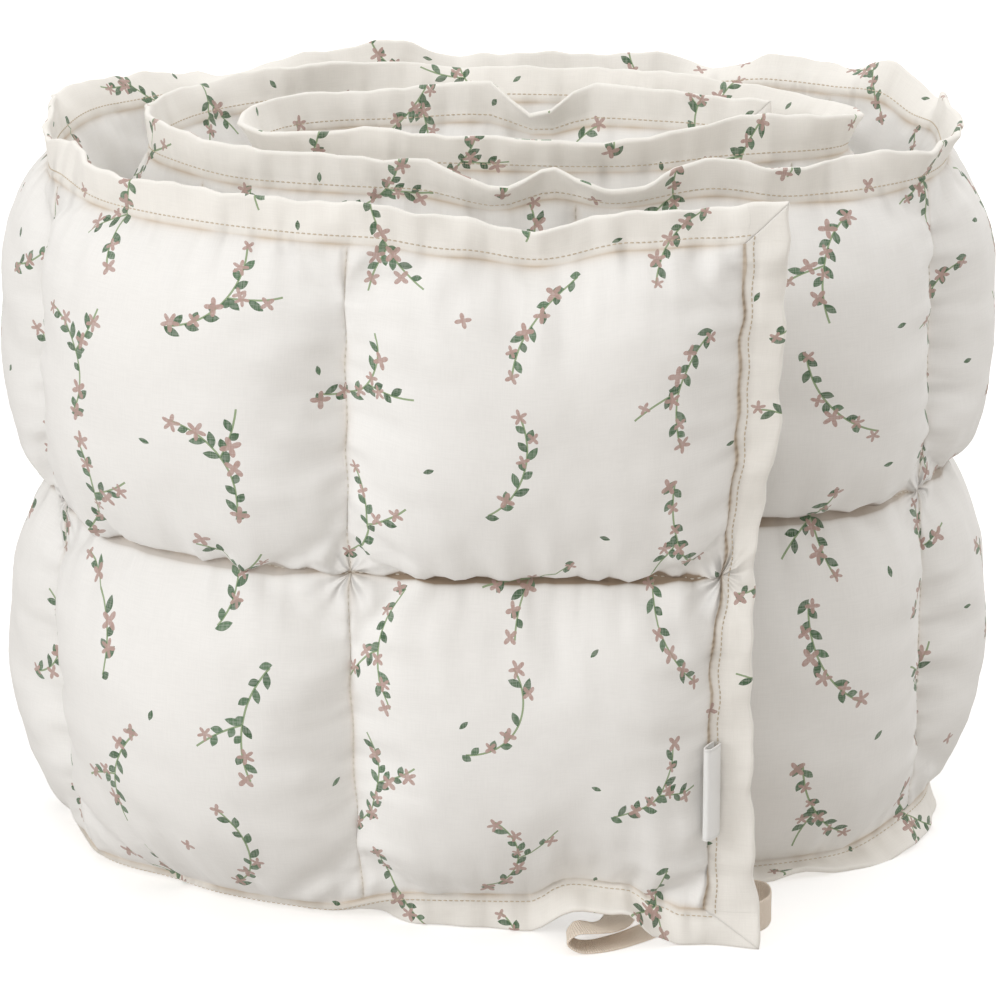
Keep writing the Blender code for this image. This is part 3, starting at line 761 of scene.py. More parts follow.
def stitch_shape(length, thread):
    """One stitch along X: rings of a thin oblong that dips under the cloth at both ends."""
    turn = 2 * np.pi * (np.arange(STITCH_SIDES) + 0.5) / STITCH_SIDES
    rings = np.array(STITCH_RINGS)
    shape = np.empty((len(rings), STITCH_SIDES, 3))
    shape[:, :, 0] = rings[:, :1] * length
    shape[:, :, 1] = rings[:, 2:] * thread * STITCH_WIDE * np.cos(turn)
    shape[:, :, 2] = rings[:, 1:2] + rings[:, 2:] * thread * STITCH_HIGH * np.sin(turn)
    ring = np.arange(len(rings) * STITCH_SIDES).reshape(len(rings), STITCH_SIDES)
    closed = np.concatenate((ring, ring[:, :1]), axis=1)
    sides = quad_faces(closed)[:, :, ::-1].reshape(-1, 4)
    ends = np.vstack((ring[0][None, :], ring[-1][None, ::-1]))
    return shape.reshape(-1, 3), np.vstack((sides, ends))


def stitched_line(line, beside, pitch):
    """Middles, headings and outward directions of the stitches along a line of points, from
    the line and a second line beside it on the same surface."""
    reached = reached_along(line)
    at = np.arange(pitch, reached[-1] - pitch / 2, pitch)

    def along(values, where):
        return np.column_stack([np.interp(where, reached, values[:, k]) for k in range(3)])

    middle = along(line, at)
    heading = along(line, at + pitch / 2) - along(line, at - pitch / 2)
    sideways = along(beside - line, at)
    facing = np.cross(heading, sideways)
    heading /= np.linalg.norm(heading, axis=1, keepdims=True)
    facing /= np.maximum(np.linalg.norm(facing, axis=1, keepdims=True), 1e-9)
    return middle, heading, facing


def build_stitches(name, lines, pitch, length, thread):
    """Every stitch of the given (line, line beside) pairs, joined into one mesh."""
    parts = zip(*(stitched_line(line, beside, pitch) for line, beside in lines))
    middle, heading, facing = (np.vstack(part) for part in parts)
    shape, faces = stitch_shape(length, thread)
    side = np.cross(facing, heading)
    places = (
        middle[:, None, :]
        + shape[None, :, :1] * heading[:, None, :]
        + shape[None, :, 1:2] * side[:, None, :]
        + shape[None, :, 2:] * facing[:, None, :]
    )
    faces = faces[None, :, :] + (len(shape) * np.arange(len(middle)))[:, None, None]
    return new_mesh_object(name, places.reshape(-1, 3), faces.reshape(-1, 4))


def topstitch_lines(grid, outside):
    """The topstitch round all four sides of one face, each with the grid line beside it."""
    line = TOPSTITCH_LINE
    low, high = grid[line:-line, line], grid[line:-line, -1 - line]
    near, far = grid[line, line:-line], grid[-1 - line, line:-line]
    step = 1 if outside else -1
    return (
        (low, grid[line:-line, line - step]),
        (high, grid[line:-line, -1 - line - step]),
        (near, grid[line + step, line:-line]),
        (far, grid[-1 - line + step, line:-line]),
    )


def quilting_lines(grid, outside):
    """The quilting seams of one face: the middle line, and each seam between two columns."""
    first = len(FLANGE_LINES)
    sparse = COLUMNS - DENSE_COLUMNS
    steps = [DENSE_STEPS] * DENSE_COLUMNS + [DENSE_STEPS // SPARSE_STRIDE] * sparse
    middle = first + ROW_STEPS
    whole = slice(first, -first)
    side = 1 if outside else -1
    lines = []
    for seam in first + np.cumsum(steps)[:-1]:
        ahead = grid[seam + 1, whole] - grid[seam - 1, whole]
        lines.append((grid[seam, whole], grid[seam, whole] + side * ahead))
    up = grid[whole, middle + 1] - grid[whole, middle - 1]
    lines.append((grid[whole, middle], grid[whole, middle] - side * up))
    return lines


# ---------------------------------------------------------------------------------------------
# The tape and the label


def smooth_route(route, samples):
    """A Catmull-Rom curve through every row of a route, with samples steps between rows."""
    padded = np.vstack((2 * route[0] - route[1], route, 2 * route[-1] - route[-2]))
    share = np.arange(samples)[:, None] / samples
    runs = []
    for number in range(len(route) - 1):
        before, start, end, after = padded[number : number + 4]
        runs.append(
            start
            + 0.5 * share * (end - before)
            + share**2 * (before - 2.5 * start + 2 * end - 0.5 * after)
            + share**3 * (1.5 * (start - end) + 0.5 * (after - before))
        )
    return np.vstack(runs + [route[-1:]])


def closed_section(near, far):
    """Faces of a closed strip from the index grids of its two sides."""

    def strip(a, b):
        return np.stack((a[:-1], a[1:], b[1:], b[:-1]), axis=-1)

    return np.vstack(
        (
            quad_faces(near).reshape(-1, 4),
            quad_faces(far)[:, :, ::-1].reshape(-1, 4),
            strip(far[0], near[0]),
            strip(near[-1], far[-1]),
            strip(near[:, 0], far[:, 0]),
            strip(far[:, -1], near[:, -1]),
        )
    )


def build_tape():
    """The tape tie: a flat strip with thinned edges carried along its route. Its width is the
    route's width direction less the part that runs along the route."""
    route = smooth_route(np.array(TAPE_ROUTE_MM), TAPE_STEPS)
    middle = route[:, :3] * MILLIMETRE
    tangent = np.gradient(middle, axis=0)
    tangent /= np.linalg.norm(tangent, axis=1, keepdims=True)
    width = route[:, 3:] - np.sum(route[:, 3:] * tangent, axis=1, keepdims=True) * tangent
    width /= np.linalg.norm(width, axis=1, keepdims=True)
    face = np.cross(tangent, width)
    reached = reached_along(middle)
    across = np.array(TAPE_ACROSS)
    half = TAPE_THICK / 2 * np.array(TAPE_THICKNESS)
    uneven = 1 + TAPE_EDGE_WANDER * rolling(reached, 0.0, TAPE_WANDER_LENGTHS, seed=2)
    sideways = width[:, None, :] * across[None, :, None] * (TAPE_WIDTH * uneven)[:, None, None]
    thick = face[:, None, :] * half[None, :, None]
    near = middle[:, None, :] + sideways + thick
    far = middle[:, None, :] + sideways - thick
    vertices = np.vstack((near.reshape(-1, 3), far.reshape(-1, 3)))
    vertices[:, :2] -= MIDDLE_OF_BASE
    vertices[:, 2] = np.maximum(vertices[:, 2], 0.0)
    index = np.arange(len(vertices)).reshape(2, len(middle), len(across))
    faces = closed_section(index[0], index[1])
    flat = np.stack(np.broadcast_arrays(across[None, :] * TAPE_WIDTH, reached[:, None]), axis=-1)
    flat = np.vstack((flat.reshape(-1, 2), flat.reshape(-1, 2)))
    tape = new_mesh_object("ribbed_tape", vertices, faces, (("cloth", flat[faces.ravel()]),))
    return outward_facing(tape), reached[-1]


def outward_facing(obj):
    """The same closed mesh with every face turned to point out of it."""
    shell = bmesh.new()
    shell.from_mesh(obj.data)
    bmesh.ops.recalc_face_normals(shell, faces=shell.faces)
    shell.to_mesh(obj.data)
    shell.free()
    obj.data.shade_smooth()
    obj.data.set_sharp_from_angle(angle=SHARP_ANGLE)
    return obj


def label_line(radius, straight):
    """One line of the folded tab seen along the seam: a leaf, a half round fold, a leaf. The
    leaves bow a little apart halfway out."""
    turn = np.linspace(-np.pi / 2, np.pi / 2, LABEL_FOLD_STEPS + 1)
    out = np.linspace(0.0, 1.0, LABEL_LEAF_STEPS + 1)[:-1]
    bow = LABEL_BOW * np.sin(np.pi * out)
    leaf = np.column_stack((straight * out, -radius - bow))
    fold = np.column_stack((straight + radius * np.cos(turn), radius * np.sin(turn)))
    return np.vstack((leaf, fold, leaf[::-1] * (1, -1)))


def build_label():
    """The bare side label: its folded section runs up the seam beside the flap's flange."""
    points, distances = roll_line()
    sewn_at = np.array([FLANGE_WIDTH - LABEL_BESIDE_SEAM])
    heights = LABEL_LOW_Z + np.linspace(0.0, 1.0, LABEL_ROWS) * LABEL_ALONG_SEAM
    place, tangent, normal, _ = line_at(sewn_at, points, distances)
    drift = flap_drift(sewn_at, heights[LABEL_ROWS // 2].reshape(1, 1))[0, 0]
    towards_pillow, normal = tangent[0], normal[0]
    place = place[0] + drift * towards_pillow
    lean = np.radians(LABEL_LEAN_DEG)
    reach = np.cos(lean) * towards_pillow + np.sin(lean) * normal
    side = -np.sin(lean) * towards_pillow + np.cos(lean) * normal
    half_width = LABEL_OPENING / 2 + LABEL_THICK
    root = place + normal * (FLANGE_THICK / 2 + LABEL_GAP + half_width * np.cos(lean))
    straight = LABEL_REACH - half_width
    grids = []
    for radius in (half_width, LABEL_OPENING / 2):
        line = label_line(radius, straight)
        plan = root + line[:, :1] * reach + line[:, 1:] * side - MIDDLE_OF_BASE
        flat = np.repeat(plan[:, None, :], len(heights), axis=1)
        z = np.broadcast_to(heights[None, :, None], flat.shape[:2] + (1,))
        grids.append(np.concatenate((flat, z), axis=2))
    reached = reached_along(line)
    vertices = np.vstack([grid.reshape(-1, 3) for grid in grids])
    index = np.arange(len(vertices)).reshape(2, len(line), len(heights))
    faces = closed_section(index[0], index[1])
    flat = np.stack(np.broadcast_arrays(reached[:, None], heights[None, :] - LABEL_LOW_Z), axis=-1)
    flat = np.vstack((flat.reshape(-1, 2), flat.reshape(-1, 2)))
    label = new_mesh_object("bare_label", vertices, faces, (("cloth", flat[faces.ravel()]),))
    return outward_facing(label), reached[-1]


# ---------------------------------------------------------------------------------------------
# Materials


class Graph:
    """Adds nodes to a node tree and wires them, so that a pattern reads as a formula."""

    def __init__(self, tree):
        self.tree = tree

    def feed(self, socket, value):
        if isinstance(value, bpy.types.NodeSocket):
            self.tree.links.new(value, socket)
        else:
            socket.default_value = value

    def node(self, kind, inputs=(), **settings):
        made = self.tree.nodes.new(kind)
        for name, value in settings.items():
            setattr(made, name, value)
        for place, value in dict(inputs).items():
            self.feed(made.inputs[place], value)
        return made

    def math(self, operation, *values):
        return self.node("ShaderNodeMath", enumerate(values), operation=operation).outputs[0]

    def vector(self, operation, *values, output="Vector"):
        made = self.node("ShaderNodeVectorMath", enumerate(values), operation=operation)
        return made.outputs[output]

    def joined(self, x, y, z=0.0):
        return self.node("ShaderNodeCombineXYZ", enumerate((x, y, z))).outputs[0]

    def parts(self, vector):
        return self.node("ShaderNodeSeparateXYZ", {0: vector}).outputs

    def chance(self, vector):
        """Four unrelated values from 0 to 1 for a cell: a single one and a colour's three."""
        made = self.node("ShaderNodeTexWhiteNoise", {"Vector": vector}, noise_dimensions="3D")
        parts = self.node("ShaderNodeSeparateColor", {0: made.outputs["Color"]}).outputs
        return (made.outputs["Value"], *parts)

    def noise(self, vector, scale, detail=1.0, dimensions="2D"):
        inputs = {"Vector": vector, "Scale": scale, "Detail": detail}
        return self.node("ShaderNodeTexNoise", inputs, noise_dimensions=dimensions).outputs["Fac"]

    def stretched_noise(self, flat, x_scale, y_scale):
        return self.noise(self.vector("MULTIPLY", flat, (x_scale, y_scale, 0.0)), 1.0, 0.0)

    def spread(self, value, low, high, to_low, to_high):
        """A value from low to high, spread evenly over to_low to to_high and held at their ends."""
        values = (value, low, high, to_low, to_high)
        names = ("Value", "From Min", "From Max", "To Min", "To Max")
        return self.node("ShaderNodeMapRange", zip(names, values)).outputs["Result"]

    def between(self, share, low, high):
        """The value at a share of the way from low to high."""
        return self.math("MULTIPLY_ADD", share, high - low, low)

    def product(self, first, *others):
        for other in others:
            first = self.math("MULTIPLY", first, other)
        return first

    def wave(self, value, length):
        """A sine wave from -1 to 1 of the given wavelength."""
        return self.math("SINE", self.math("MULTIPLY", value, 2 * np.pi / length))

    def apart(self, value, place):
        """How far a value is from a place, to either side."""
        return self.math("ABSOLUTE", self.math("SUBTRACT", value, place))

    def fading(self, distance, reach):
        """Fades from 1 at no distance as e to the minus distance over reach."""
        return self.math("EXPONENT", self.math("MULTIPLY", distance, -1.0 / reach))

    def mixed(self, share, first, second, blend="MIX"):
        """A blend of two colours, of which each is a socket or the three parts of a colour."""
        made = self.node("ShaderNodeMix", data_type="RGBA", blend_type=blend, clamp_factor=True)
        self.feed(made.inputs[0], share)
        for place, colour in ((6, first), (7, second)):
            is_socket = isinstance(colour, bpy.types.NodeSocket)
            self.feed(made.inputs[place], colour if is_socket else (*colour, 1.0))
        return made.outputs[2]

    def bump(self, height, distance, strength=1.0):
        inputs = {"Height": height, "Distance": distance, "Strength": strength}
        return self.node("ShaderNodeBump", inputs).outputs["Normal"]


# Sizes of the printed sprigs, in metres. One sprig fills one cell of a half-drop repeat.
SPRIG_CELL = 0.055
SPRIG_HALF = 0.0225
ARC_RADII = (0.020, 0.050)
BRANCH_HALF = 0.0095
STEM_HALF_WIDTH = 0.00036
LEAF_PITCH = 0.0072
LEAF_STAGGER = 0.42
LEAF_GAP = 0.0009
LEAF_LENGTH = 0.0062
LEAF_HALF_WIDTH = 0.00135
LEAF_TILT = np.radians(38)
FLOWER_PITCH = 0.0086
FLOWER_RADIUS = 0.0036
FLOWER_OFFSET = 0.0026
BRANCH_PLACE = (-0.0075, 0.0065)
BRANCH_TURN = -0.85
BRANCH_RADIUS = 0.05
BIT_LENGTH = 0.0042
BIT_HALF_WIDTH = 0.0009
BIT_FLOWER_RADIUS = 0.0030

# Where the repeat starts, how far its parts stray from their middles, how far a sprig turns,
# and the chance above which each kind of part is printed.
REPEAT_START = 4.0
SPRIG_STRAY = 0.003
BIT_STRAY = 0.005
SPRIG_TURN = 0.85
LEAF_CHANCE = 0.18
FLOWER_CHANCE = 0.22
BRANCH_CHANCE = 0.45
BIT_CHANCE = 0.3
BIT_LEAF_CHANCE = 0.45
PRINT_PARTS = ("Stem", "Leaf", "Flower", "Tone")
BACK_SHIFT = (0.083, 0.021)


def new_group(name, inputs, outputs):
    tree = bpy.data.node_groups.new(name, "ShaderNodeTree")
    for socket_name, kind in inputs:
        tree.interface.new_socket(socket_name, in_out="INPUT", socket_type=kind)
    for socket_name in outputs:
        tree.interface.new_socket(socket_name, in_out="OUTPUT", socket_type="NodeSocketFloat")
    graph = Graph(tree)
    return graph, graph.node("NodeGroupInput").outputs, graph.node("NodeGroupOutput").inputs


def leaf_mask(graph, along, across, length, half_width):
    """Inside a pointed leaf that starts at 0 and runs along: its half width is 4 q (1 - q)
    times half_width, where q is the share of its length."""
    share = graph.math("DIVIDE", along, length)
    crown = graph.math("MULTIPLY", share, graph.math("SUBTRACT", 1.0, share))
    edge = graph.math("MULTIPLY", crown, 4 * half_width)
    return graph.math("LESS_THAN", graph.math("ABSOLUTE", across), edge)


def flower_mask(graph, x, y, radius, petals, phase):
    """Inside a flower: the edge's radius is radius times 0.67 plus 0.33 of a cosine with one
    wave for each petal."""
    angle = graph.math("ARCTAN2", y, x)
    wave = graph.math("COSINE", graph.math("MULTIPLY_ADD", angle, petals, phase))
    edge = graph.math("MULTIPLY", graph.math("MULTIPLY_ADD", wave, 0.33, 0.67), radius)
    away = graph.vector("LENGTH", graph.joined(x, y), output="Value")
    return graph.math("LESS_THAN", away, edge)


def sprig_run():
    """One run of a sprig: a stem on an arc, leaves on both sides and flowers beside it. Along
    is the angle round the arc's middle times its radius, and across the distance from it."""
    sizes = [(name, "NodeSocketFloat") for name in ("Radius", "Half length", "Seed")]
    inputs = [("Place", "NodeSocketVector")] + sizes
    graph, given, made = new_group("sprig_run", inputs, PRINT_PARTS)
    x, y, _ = graph.parts(given["Place"])
    beside = graph.math("SUBTRACT", given["Radius"], x)
    away = graph.vector("LENGTH", graph.joined(beside, y), output="Value")
    across = graph.math("SUBTRACT", away, given["Radius"])
    along = graph.math("MULTIPLY", graph.math("ARCTAN2", y, beside), given["Radius"])
    off = graph.math("ABSOLUTE", across)
    reach = graph.math("ABSOLUTE", along)
    on_stem = graph.math("LESS_THAN", reach, given["Half length"])
    near_stem = graph.math("LESS_THAN", off, STEM_HALF_WIDTH)
    graph.feed(made["Stem"], graph.math("MULTIPLY", on_stem, near_stem))

    side = graph.math("GREATER_THAN", across, 0.0)
    leaf_along = graph.math("MULTIPLY_ADD", side, LEAF_PITCH * LEAF_STAGGER, along)
    leaf_cell = graph.math("FLOOR", graph.math("DIVIDE", leaf_along, LEAF_PITCH))
    leaf_from = graph.math("MULTIPLY_ADD", leaf_cell, -LEAF_PITCH, leaf_along)
    leaf_from = graph.math("SUBTRACT", leaf_from, LEAF_GAP)
    chance, tone, size, _ = graph.chance(graph.joined(leaf_cell, side, given["Seed"]))
    out = graph.math("MULTIPLY", leaf_from, np.cos(LEAF_TILT))
    out = graph.math("MULTIPLY_ADD", off, np.sin(LEAF_TILT), out)
    beyond = graph.math("MULTIPLY", leaf_from, -np.sin(LEAF_TILT))
    beyond = graph.math("MULTIPLY_ADD", off, np.cos(LEAF_TILT), beyond)
    length = graph.between(size, 0.6 * LEAF_LENGTH, 1.05 * LEAF_LENGTH)
    leaf = leaf_mask(graph, out, beyond, length, LEAF_HALF_WIDTH)
    leaf = graph.math("MULTIPLY", leaf, graph.math("GREATER_THAN", chance, LEAF_CHANCE))
    root = graph.math("MULTIPLY", graph.math("ADD", leaf_cell, 0.5), LEAF_PITCH)
    rooted = graph.math("LESS_THAN", graph.math("ABSOLUTE", root), given["Half length"])
    graph.feed(made["Leaf"], graph.math("MULTIPLY", leaf, rooted))
    graph.feed(made["Tone"], tone)

    cell = graph.math("FLOOR", graph.math("DIVIDE", along, FLOWER_PITCH))
    centre = graph.math("ADD", cell, 0.5)
    x_flower = graph.math("MULTIPLY_ADD", centre, -FLOWER_PITCH, along)
    seed = graph.math("ADD", given["Seed"], 7.3)
    chance, lean, size, turn = graph.chance(graph.joined(cell, 3.0, seed))
    shift = graph.math("MULTIPLY", graph.math("SUBTRACT", lean, 0.5), 2 * FLOWER_OFFSET)
    y_flower = graph.math("SUBTRACT", across, shift)
    radius = graph.between(size, 0.65 * FLOWER_RADIUS, 1.05 * FLOWER_RADIUS)
    phase = graph.math("MULTIPLY", turn, 6.0)
    petals = graph.math("ADD", graph.math("GREATER_THAN", turn, 0.6), 4.0)
    flower = flower_mask(graph, x_flower, y_flower, radius, petals, phase)
    flower = graph.math("MULTIPLY", flower, graph.math("GREATER_THAN", chance, FLOWER_CHANCE))
    from_middle = graph.math("ABSOLUTE", graph.math("MULTIPLY", centre, FLOWER_PITCH))
    within = graph.math("LESS_THAN", from_middle, given["Half length"])
    graph.feed(made["Flower"], graph.math("MULTIPLY", flower, within))
    return graph.tree


def turned(graph, x, y, angle):
    """A plane place turned by an angle about the middle."""
    inputs = {"Vector": graph.joined(x, y), "Angle": angle}
    return graph.node("ShaderNodeVectorRotate", inputs, rotation_type="Z_AXIS").outputs[0]


def half_drop(graph, x, y, pitch, shift):
    """The cell of a half-drop repeat and the place within it: each second column of cells is
    lowered by half a cell."""
    x_shifted = graph.math("ADD", x, shift)
    x_cell = graph.math("FLOOR", graph.math("DIVIDE", x_shifted, pitch))
    odd = graph.math("MODULO", graph.math("ABSOLUTE", x_cell), 2.0)
    lowered = graph.math("MULTIPLY", odd, pitch / 2)
    y_down = graph.math("ADD", graph.math("ADD", y, shift), lowered)
    y_cell = graph.math("FLOOR", graph.math("DIVIDE", y_down, pitch))
    x_in = graph.math("MULTIPLY_ADD", graph.math("ADD", x_cell, 0.5), -pitch, x_shifted)
    y_in = graph.math("MULTIPLY_ADD", graph.math("ADD", y_cell, 0.5), -pitch, y_down)
    return x_cell, y_cell, x_in, y_in


def print_group():
    """The sprig print: in each cell one curved run of stem, leaves and flowers at its own angle
    with a shorter one beside it, and a loose leaf or flower at some of the cells' corners."""
    graph, given, made = new_group("sprig_print", [("Cloth", "NodeSocketVector")], PRINT_PARTS)
    run = sprig_run()

    def laid_run(place, radius, half_length, seed):
        inputs = {"Place": place, "Radius": radius, "Half length": half_length, "Seed": seed}
        return graph.node("ShaderNodeGroup", inputs, node_tree=run).outputs

    x, y, _ = graph.parts(given["Cloth"])
    x_cell, y_cell, x_in, y_in = half_drop(graph, x, y, SPRIG_CELL, REPEAT_START)
    chance, across, up, lean = graph.chance(graph.joined(x_cell, y_cell, 1.0))
    x_in = graph.math("ADD", x_in, graph.between(across, -SPRIG_STRAY, SPRIG_STRAY))
    y_in = graph.math("ADD", y_in, graph.between(up, -SPRIG_STRAY, SPRIG_STRAY))
    flipped = graph.math("MULTIPLY", graph.math("GREATER_THAN", chance, 0.5), np.pi)
    angle = graph.math("ADD", graph.between(lean, -SPRIG_TURN, SPRIG_TURN), flipped)
    seed = graph.math("MULTIPLY_ADD", x_cell, 3.0, graph.math("MULTIPLY", y_cell, 17.0))
    place = turned(graph, x_in, y_in, angle)
    main = laid_run(place, graph.between(across, *ARC_RADII), SPRIG_HALF, seed)
    x_turned, y_turned, _ = graph.parts(place)
    x_side = graph.math("SUBTRACT", x_turned, BRANCH_PLACE[0])
    y_side = graph.math("SUBTRACT", y_turned, BRANCH_PLACE[1])
    side_place = turned(graph, x_side, y_side, BRANCH_TURN)
    branch = laid_run(side_place, BRANCH_RADIUS, BRANCH_HALF, graph.math("ADD", seed, 5.0))
    branched = graph.math("GREATER_THAN", up, BRANCH_CHANCE)

    bit_x, bit_y, x_bit, y_bit = half_drop(graph, x, y, SPRIG_CELL, REPEAT_START + SPRIG_CELL / 2)
    chance, kind, where, spin = graph.chance(graph.joined(bit_x, bit_y, 9.0))
    x_bit = graph.math("ADD", x_bit, graph.between(where, -BIT_STRAY, BIT_STRAY))
    x_bit, y_bit, _ = graph.parts(turned(graph, x_bit, y_bit, graph.math("MULTIPLY", spin, 6.28)))
    shown = graph.math("GREATER_THAN", chance, BIT_CHANCE)
    is_leaf = graph.math("GREATER_THAN", kind, BIT_LEAF_CHANCE)
    is_flower = graph.math("SUBTRACT", 1.0, is_leaf)
    bit_leaf = leaf_mask(graph, x_bit, y_bit, BIT_LENGTH, BIT_HALF_WIDTH)
    bit_flower = flower_mask(graph, x_bit, y_bit, BIT_FLOWER_RADIUS, 4.0, 0.6)
    bits = {
        "Leaf": graph.product(bit_leaf, shown, is_leaf),
        "Flower": graph.product(bit_flower, shown, is_flower),
    }

    for name in ("Stem", "Leaf", "Flower"):
        beside = graph.math("MULTIPLY", branch[name], branched)
        ink = graph.math("MAXIMUM", main[name], beside)
        graph.feed(made[name], graph.math("MAXIMUM", ink, bits[name]) if name in bits else ink)
    graph.feed(made["Tone"], main["Tone"])
    return graph.tree


# The printed cotton's weave, creases and clouds, as waves in a metre, and its relief in metres.
WEAVE_FINE, WEAVE_LONG = 2300.0, 150.0
CREASE_SCALE, CREASE_DEPTH = 45.0, 0.0013
CLOUD_SCALE = 9.0
RIDGE_FINE, RIDGE_LONG = 120.0, 26.0
RIDGE_DEPTH, RIDGE_REACH = 0.0040, 0.012
PLEAT_DEPTH, PLEAT_GROWN, PLEAT_REACH = 0.008, 0.008, 0.011
PLEAT_SCALE, PLEAT_APART = 2.3, 5.3
MITRE_REACH = 0.0005
TUCK_DEPTH = 0.0004

# Its painted shade beside the seams, in the tucks and in the fold between the rows, in metres, and how
# strongly it shows.
SEAM_OVERRUN = 0.0004
SEAM_SHADE_REACH, COLUMN_SEAM_SHARE = 0.0012, 0.6
EDGE_SEAM_PAST, EDGE_SEAM_REACH = 0.0002, 0.00045
STRIP_PAST, STRIP_HALF, STRIP_REACH, STRIP_SHARE = 0.0004, 0.0005, 0.0003, 0.75
SCALLOP_PITCH, SCALLOP_WANDER, SCALLOP_REACH = 0.0031, 16.0, 0.0007
FOLD_FROM, FOLD_FULL, FOLD_HIDDEN, FOLD_REACH = 0.004, 0.030, 0.0034, 0.0006


def blank_material(name, surface):
    """A new material, its graph and its shader, on which the surface's values are set."""
    material = bpy.data.materials.new(name)
    material.use_nodes = True
    shader = material.node_tree.nodes["Principled BSDF"]
    for socket, value in surface.items():
        shader.inputs[socket].default_value = value
    return material, Graph(material.node_tree), shader


def shaded(colour, share):
    return tuple(share * part for part in colour)


def cloth_places(graph):
    """Where a point of the flat cloth lies: its distances from the quilting seams across and up
    and from the panel's ends and sides, and the unevenness that its marks share. Quilting lines
    end at the flange, so beyond it they count as far away."""
    at = SimpleNamespace(flat=graph.node("ShaderNodeUVMap", uv_map="cloth").outputs[0])
    at.x, at.y, _ = graph.parts(at.flat)
    at.from_end = graph.math("MINIMUM", at.x, graph.math("SUBTRACT", PANEL_LENGTH, at.x))
    at.from_side = graph.math("MINIMUM", at.y, graph.math("SUBTRACT", PANEL_CUT_HEIGHT, at.y))
    at.from_edge = graph.math("MINIMUM", at.from_end, at.from_side)
    column = graph.math("PINGPONG", graph.math("SUBTRACT", at.x, FLANGE_WIDTH), COLUMN_PITCH / 2)
    row = graph.math("PINGPONG", graph.math("SUBTRACT", at.y, FLANGE_WIDTH), ROW_HEIGHT / 2)
    seam_end = FLANGE_WIDTH - SEAM_OVERRUN
    at.across = graph.math("ADD", column, graph.math("LESS_THAN", at.from_side, seam_end))
    at.up = graph.math("ADD", row, graph.math("LESS_THAN", at.from_end, seam_end))
    at.in_flange = graph.math("LESS_THAN", at.from_edge, FLANGE_WIDTH)
    at.inside_ends = graph.math("GREATER_THAN", at.from_end, FLANGE_WIDTH)
    at.inside_sides = graph.math("GREATER_THAN", at.from_side, FLANGE_WIDTH)
    at.clouds = graph.noise(at.flat, CLOUD_SCALE)
    at.creases = graph.noise(at.flat, CREASE_SCALE)
    at.broken = graph.spread(at.creases, 0.35, 0.65, 0.3, 0.85)
    return at


def seam_shade_mask(graph, at):
    """How strongly the painted shade of the seams' creases darkens and warms the cloth, broken up by its
    creases:
    fully at the middle seam and the flange's, and less between columns."""
    column = graph.math("MULTIPLY", graph.fading(at.across, SEAM_SHADE_REACH), COLUMN_SEAM_SHARE)
    seam = graph.math("MAXIMUM", column, graph.fading(at.up, SEAM_SHADE_REACH))
    from_flange = graph.apart(at.from_edge, FLANGE_WIDTH + EDGE_SEAM_PAST)
    seam = graph.math("MAXIMUM", seam, graph.fading(from_flange, EDGE_SEAM_REACH))
    return graph.math("MULTIPLY", seam, at.broken)


def end_tuck_shade(graph, at):
    """Painted shade beside the flange of each end: a warm strip of crease shade, and the dark scallops of
    shade in the tucks there.
    """
    beside = graph.apart(at.from_end, FLANGE_WIDTH + STRIP_PAST)
    beyond = graph.math("MAXIMUM", graph.math("SUBTRACT", beside, STRIP_HALF), 0.0)
    strip = graph.product(graph.fading(beyond, STRIP_REACH), at.inside_sides, STRIP_SHARE)
    turn = graph.math("MULTIPLY", at.y, 2 * np.pi / SCALLOP_PITCH)
    turn = graph.math("MULTIPLY_ADD", at.creases, SCALLOP_WANDER, turn)
    scallop = graph.spread(graph.math("SINE", turn), -0.6, 1.0, 0.2, 0.9)
    fade = graph.fading(beside, SCALLOP_REACH)
    return strip, graph.product(scallop, at.broken, fade, at.inside_sides)


def row_fold_shade(graph, at):
    """Painted shade of the dark fold between the two rows. It starts beyond the cloth that the upper
    pillows hide, which is widest away from the columns' seams."""
    hidden = graph.spread(at.across, FOLD_FROM, FOLD_FULL, 0.0, FOLD_HIDDEN)
    from_fold = graph.math("SUBTRACT", graph.apart(at.y, PANEL_CUT_HEIGHT / 2), hidden)
    fade = graph.fading(graph.math("MAXIMUM", from_fold, 0.0), FOLD_REACH)
    deep = graph.spread(at.clouds, 0.42, 0.55, 0.95, 0.45)
    return graph.product(deep, at.inside_ends, fade)


def seam_ridges(graph, at):
    """The height of the puckers: noise drawn out across each seam, which fades with the
    distance from it."""
    over_column = graph.stretched_noise(at.flat, RIDGE_LONG, RIDGE_FINE)
    over_row = graph.stretched_noise(at.flat, RIDGE_FINE, RIDGE_LONG)
    total = 0.0
    for ridge, distance in ((over_column, at.across), (over_row, at.up)):
        raised = graph.between(ridge, -RIDGE_DEPTH / 2, RIDGE_DEPTH / 2)
        total = graph.math("MULTIPLY_ADD", raised, graph.fading(distance, RIDGE_REACH), total)
    return total


def crossing_pleats(graph, at):
    """The height of the pleats that run out from where the seams of two columns cross the
    middle one: noise that changes only with the direction from the crossing. It grows over
    the first millimetres and then fades with the distance."""
    column = graph.math("DIVIDE", graph.math("SUBTRACT", at.x, FLANGE_WIDTH), COLUMN_PITCH)
    number = graph.math("ROUND", column)
    beside = graph.math("MULTIPLY", graph.math("SUBTRACT", column, number), COLUMN_PITCH)
    place = graph.joined(beside, graph.math("SUBTRACT", at.y, PANEL_CUT_HEIGHT / 2))
    own = graph.joined(graph.math("MULTIPLY", number, PLEAT_APART), 0.0)
    direction = graph.vector("ADD", graph.vector("NORMALIZE", place), own)
    pleat = graph.noise(direction, PLEAT_SCALE, 0.0)
    pleat = graph.between(pleat, -PLEAT_DEPTH / 2, PLEAT_DEPTH / 2)
    away = graph.vector("LENGTH", place, output="Value")
    grown = graph.math("MINIMUM", graph.math("MULTIPLY", away, 1.0 / PLEAT_GROWN), 1.0)
    return graph.product(pleat, grown, graph.fading(away, PLEAT_REACH))


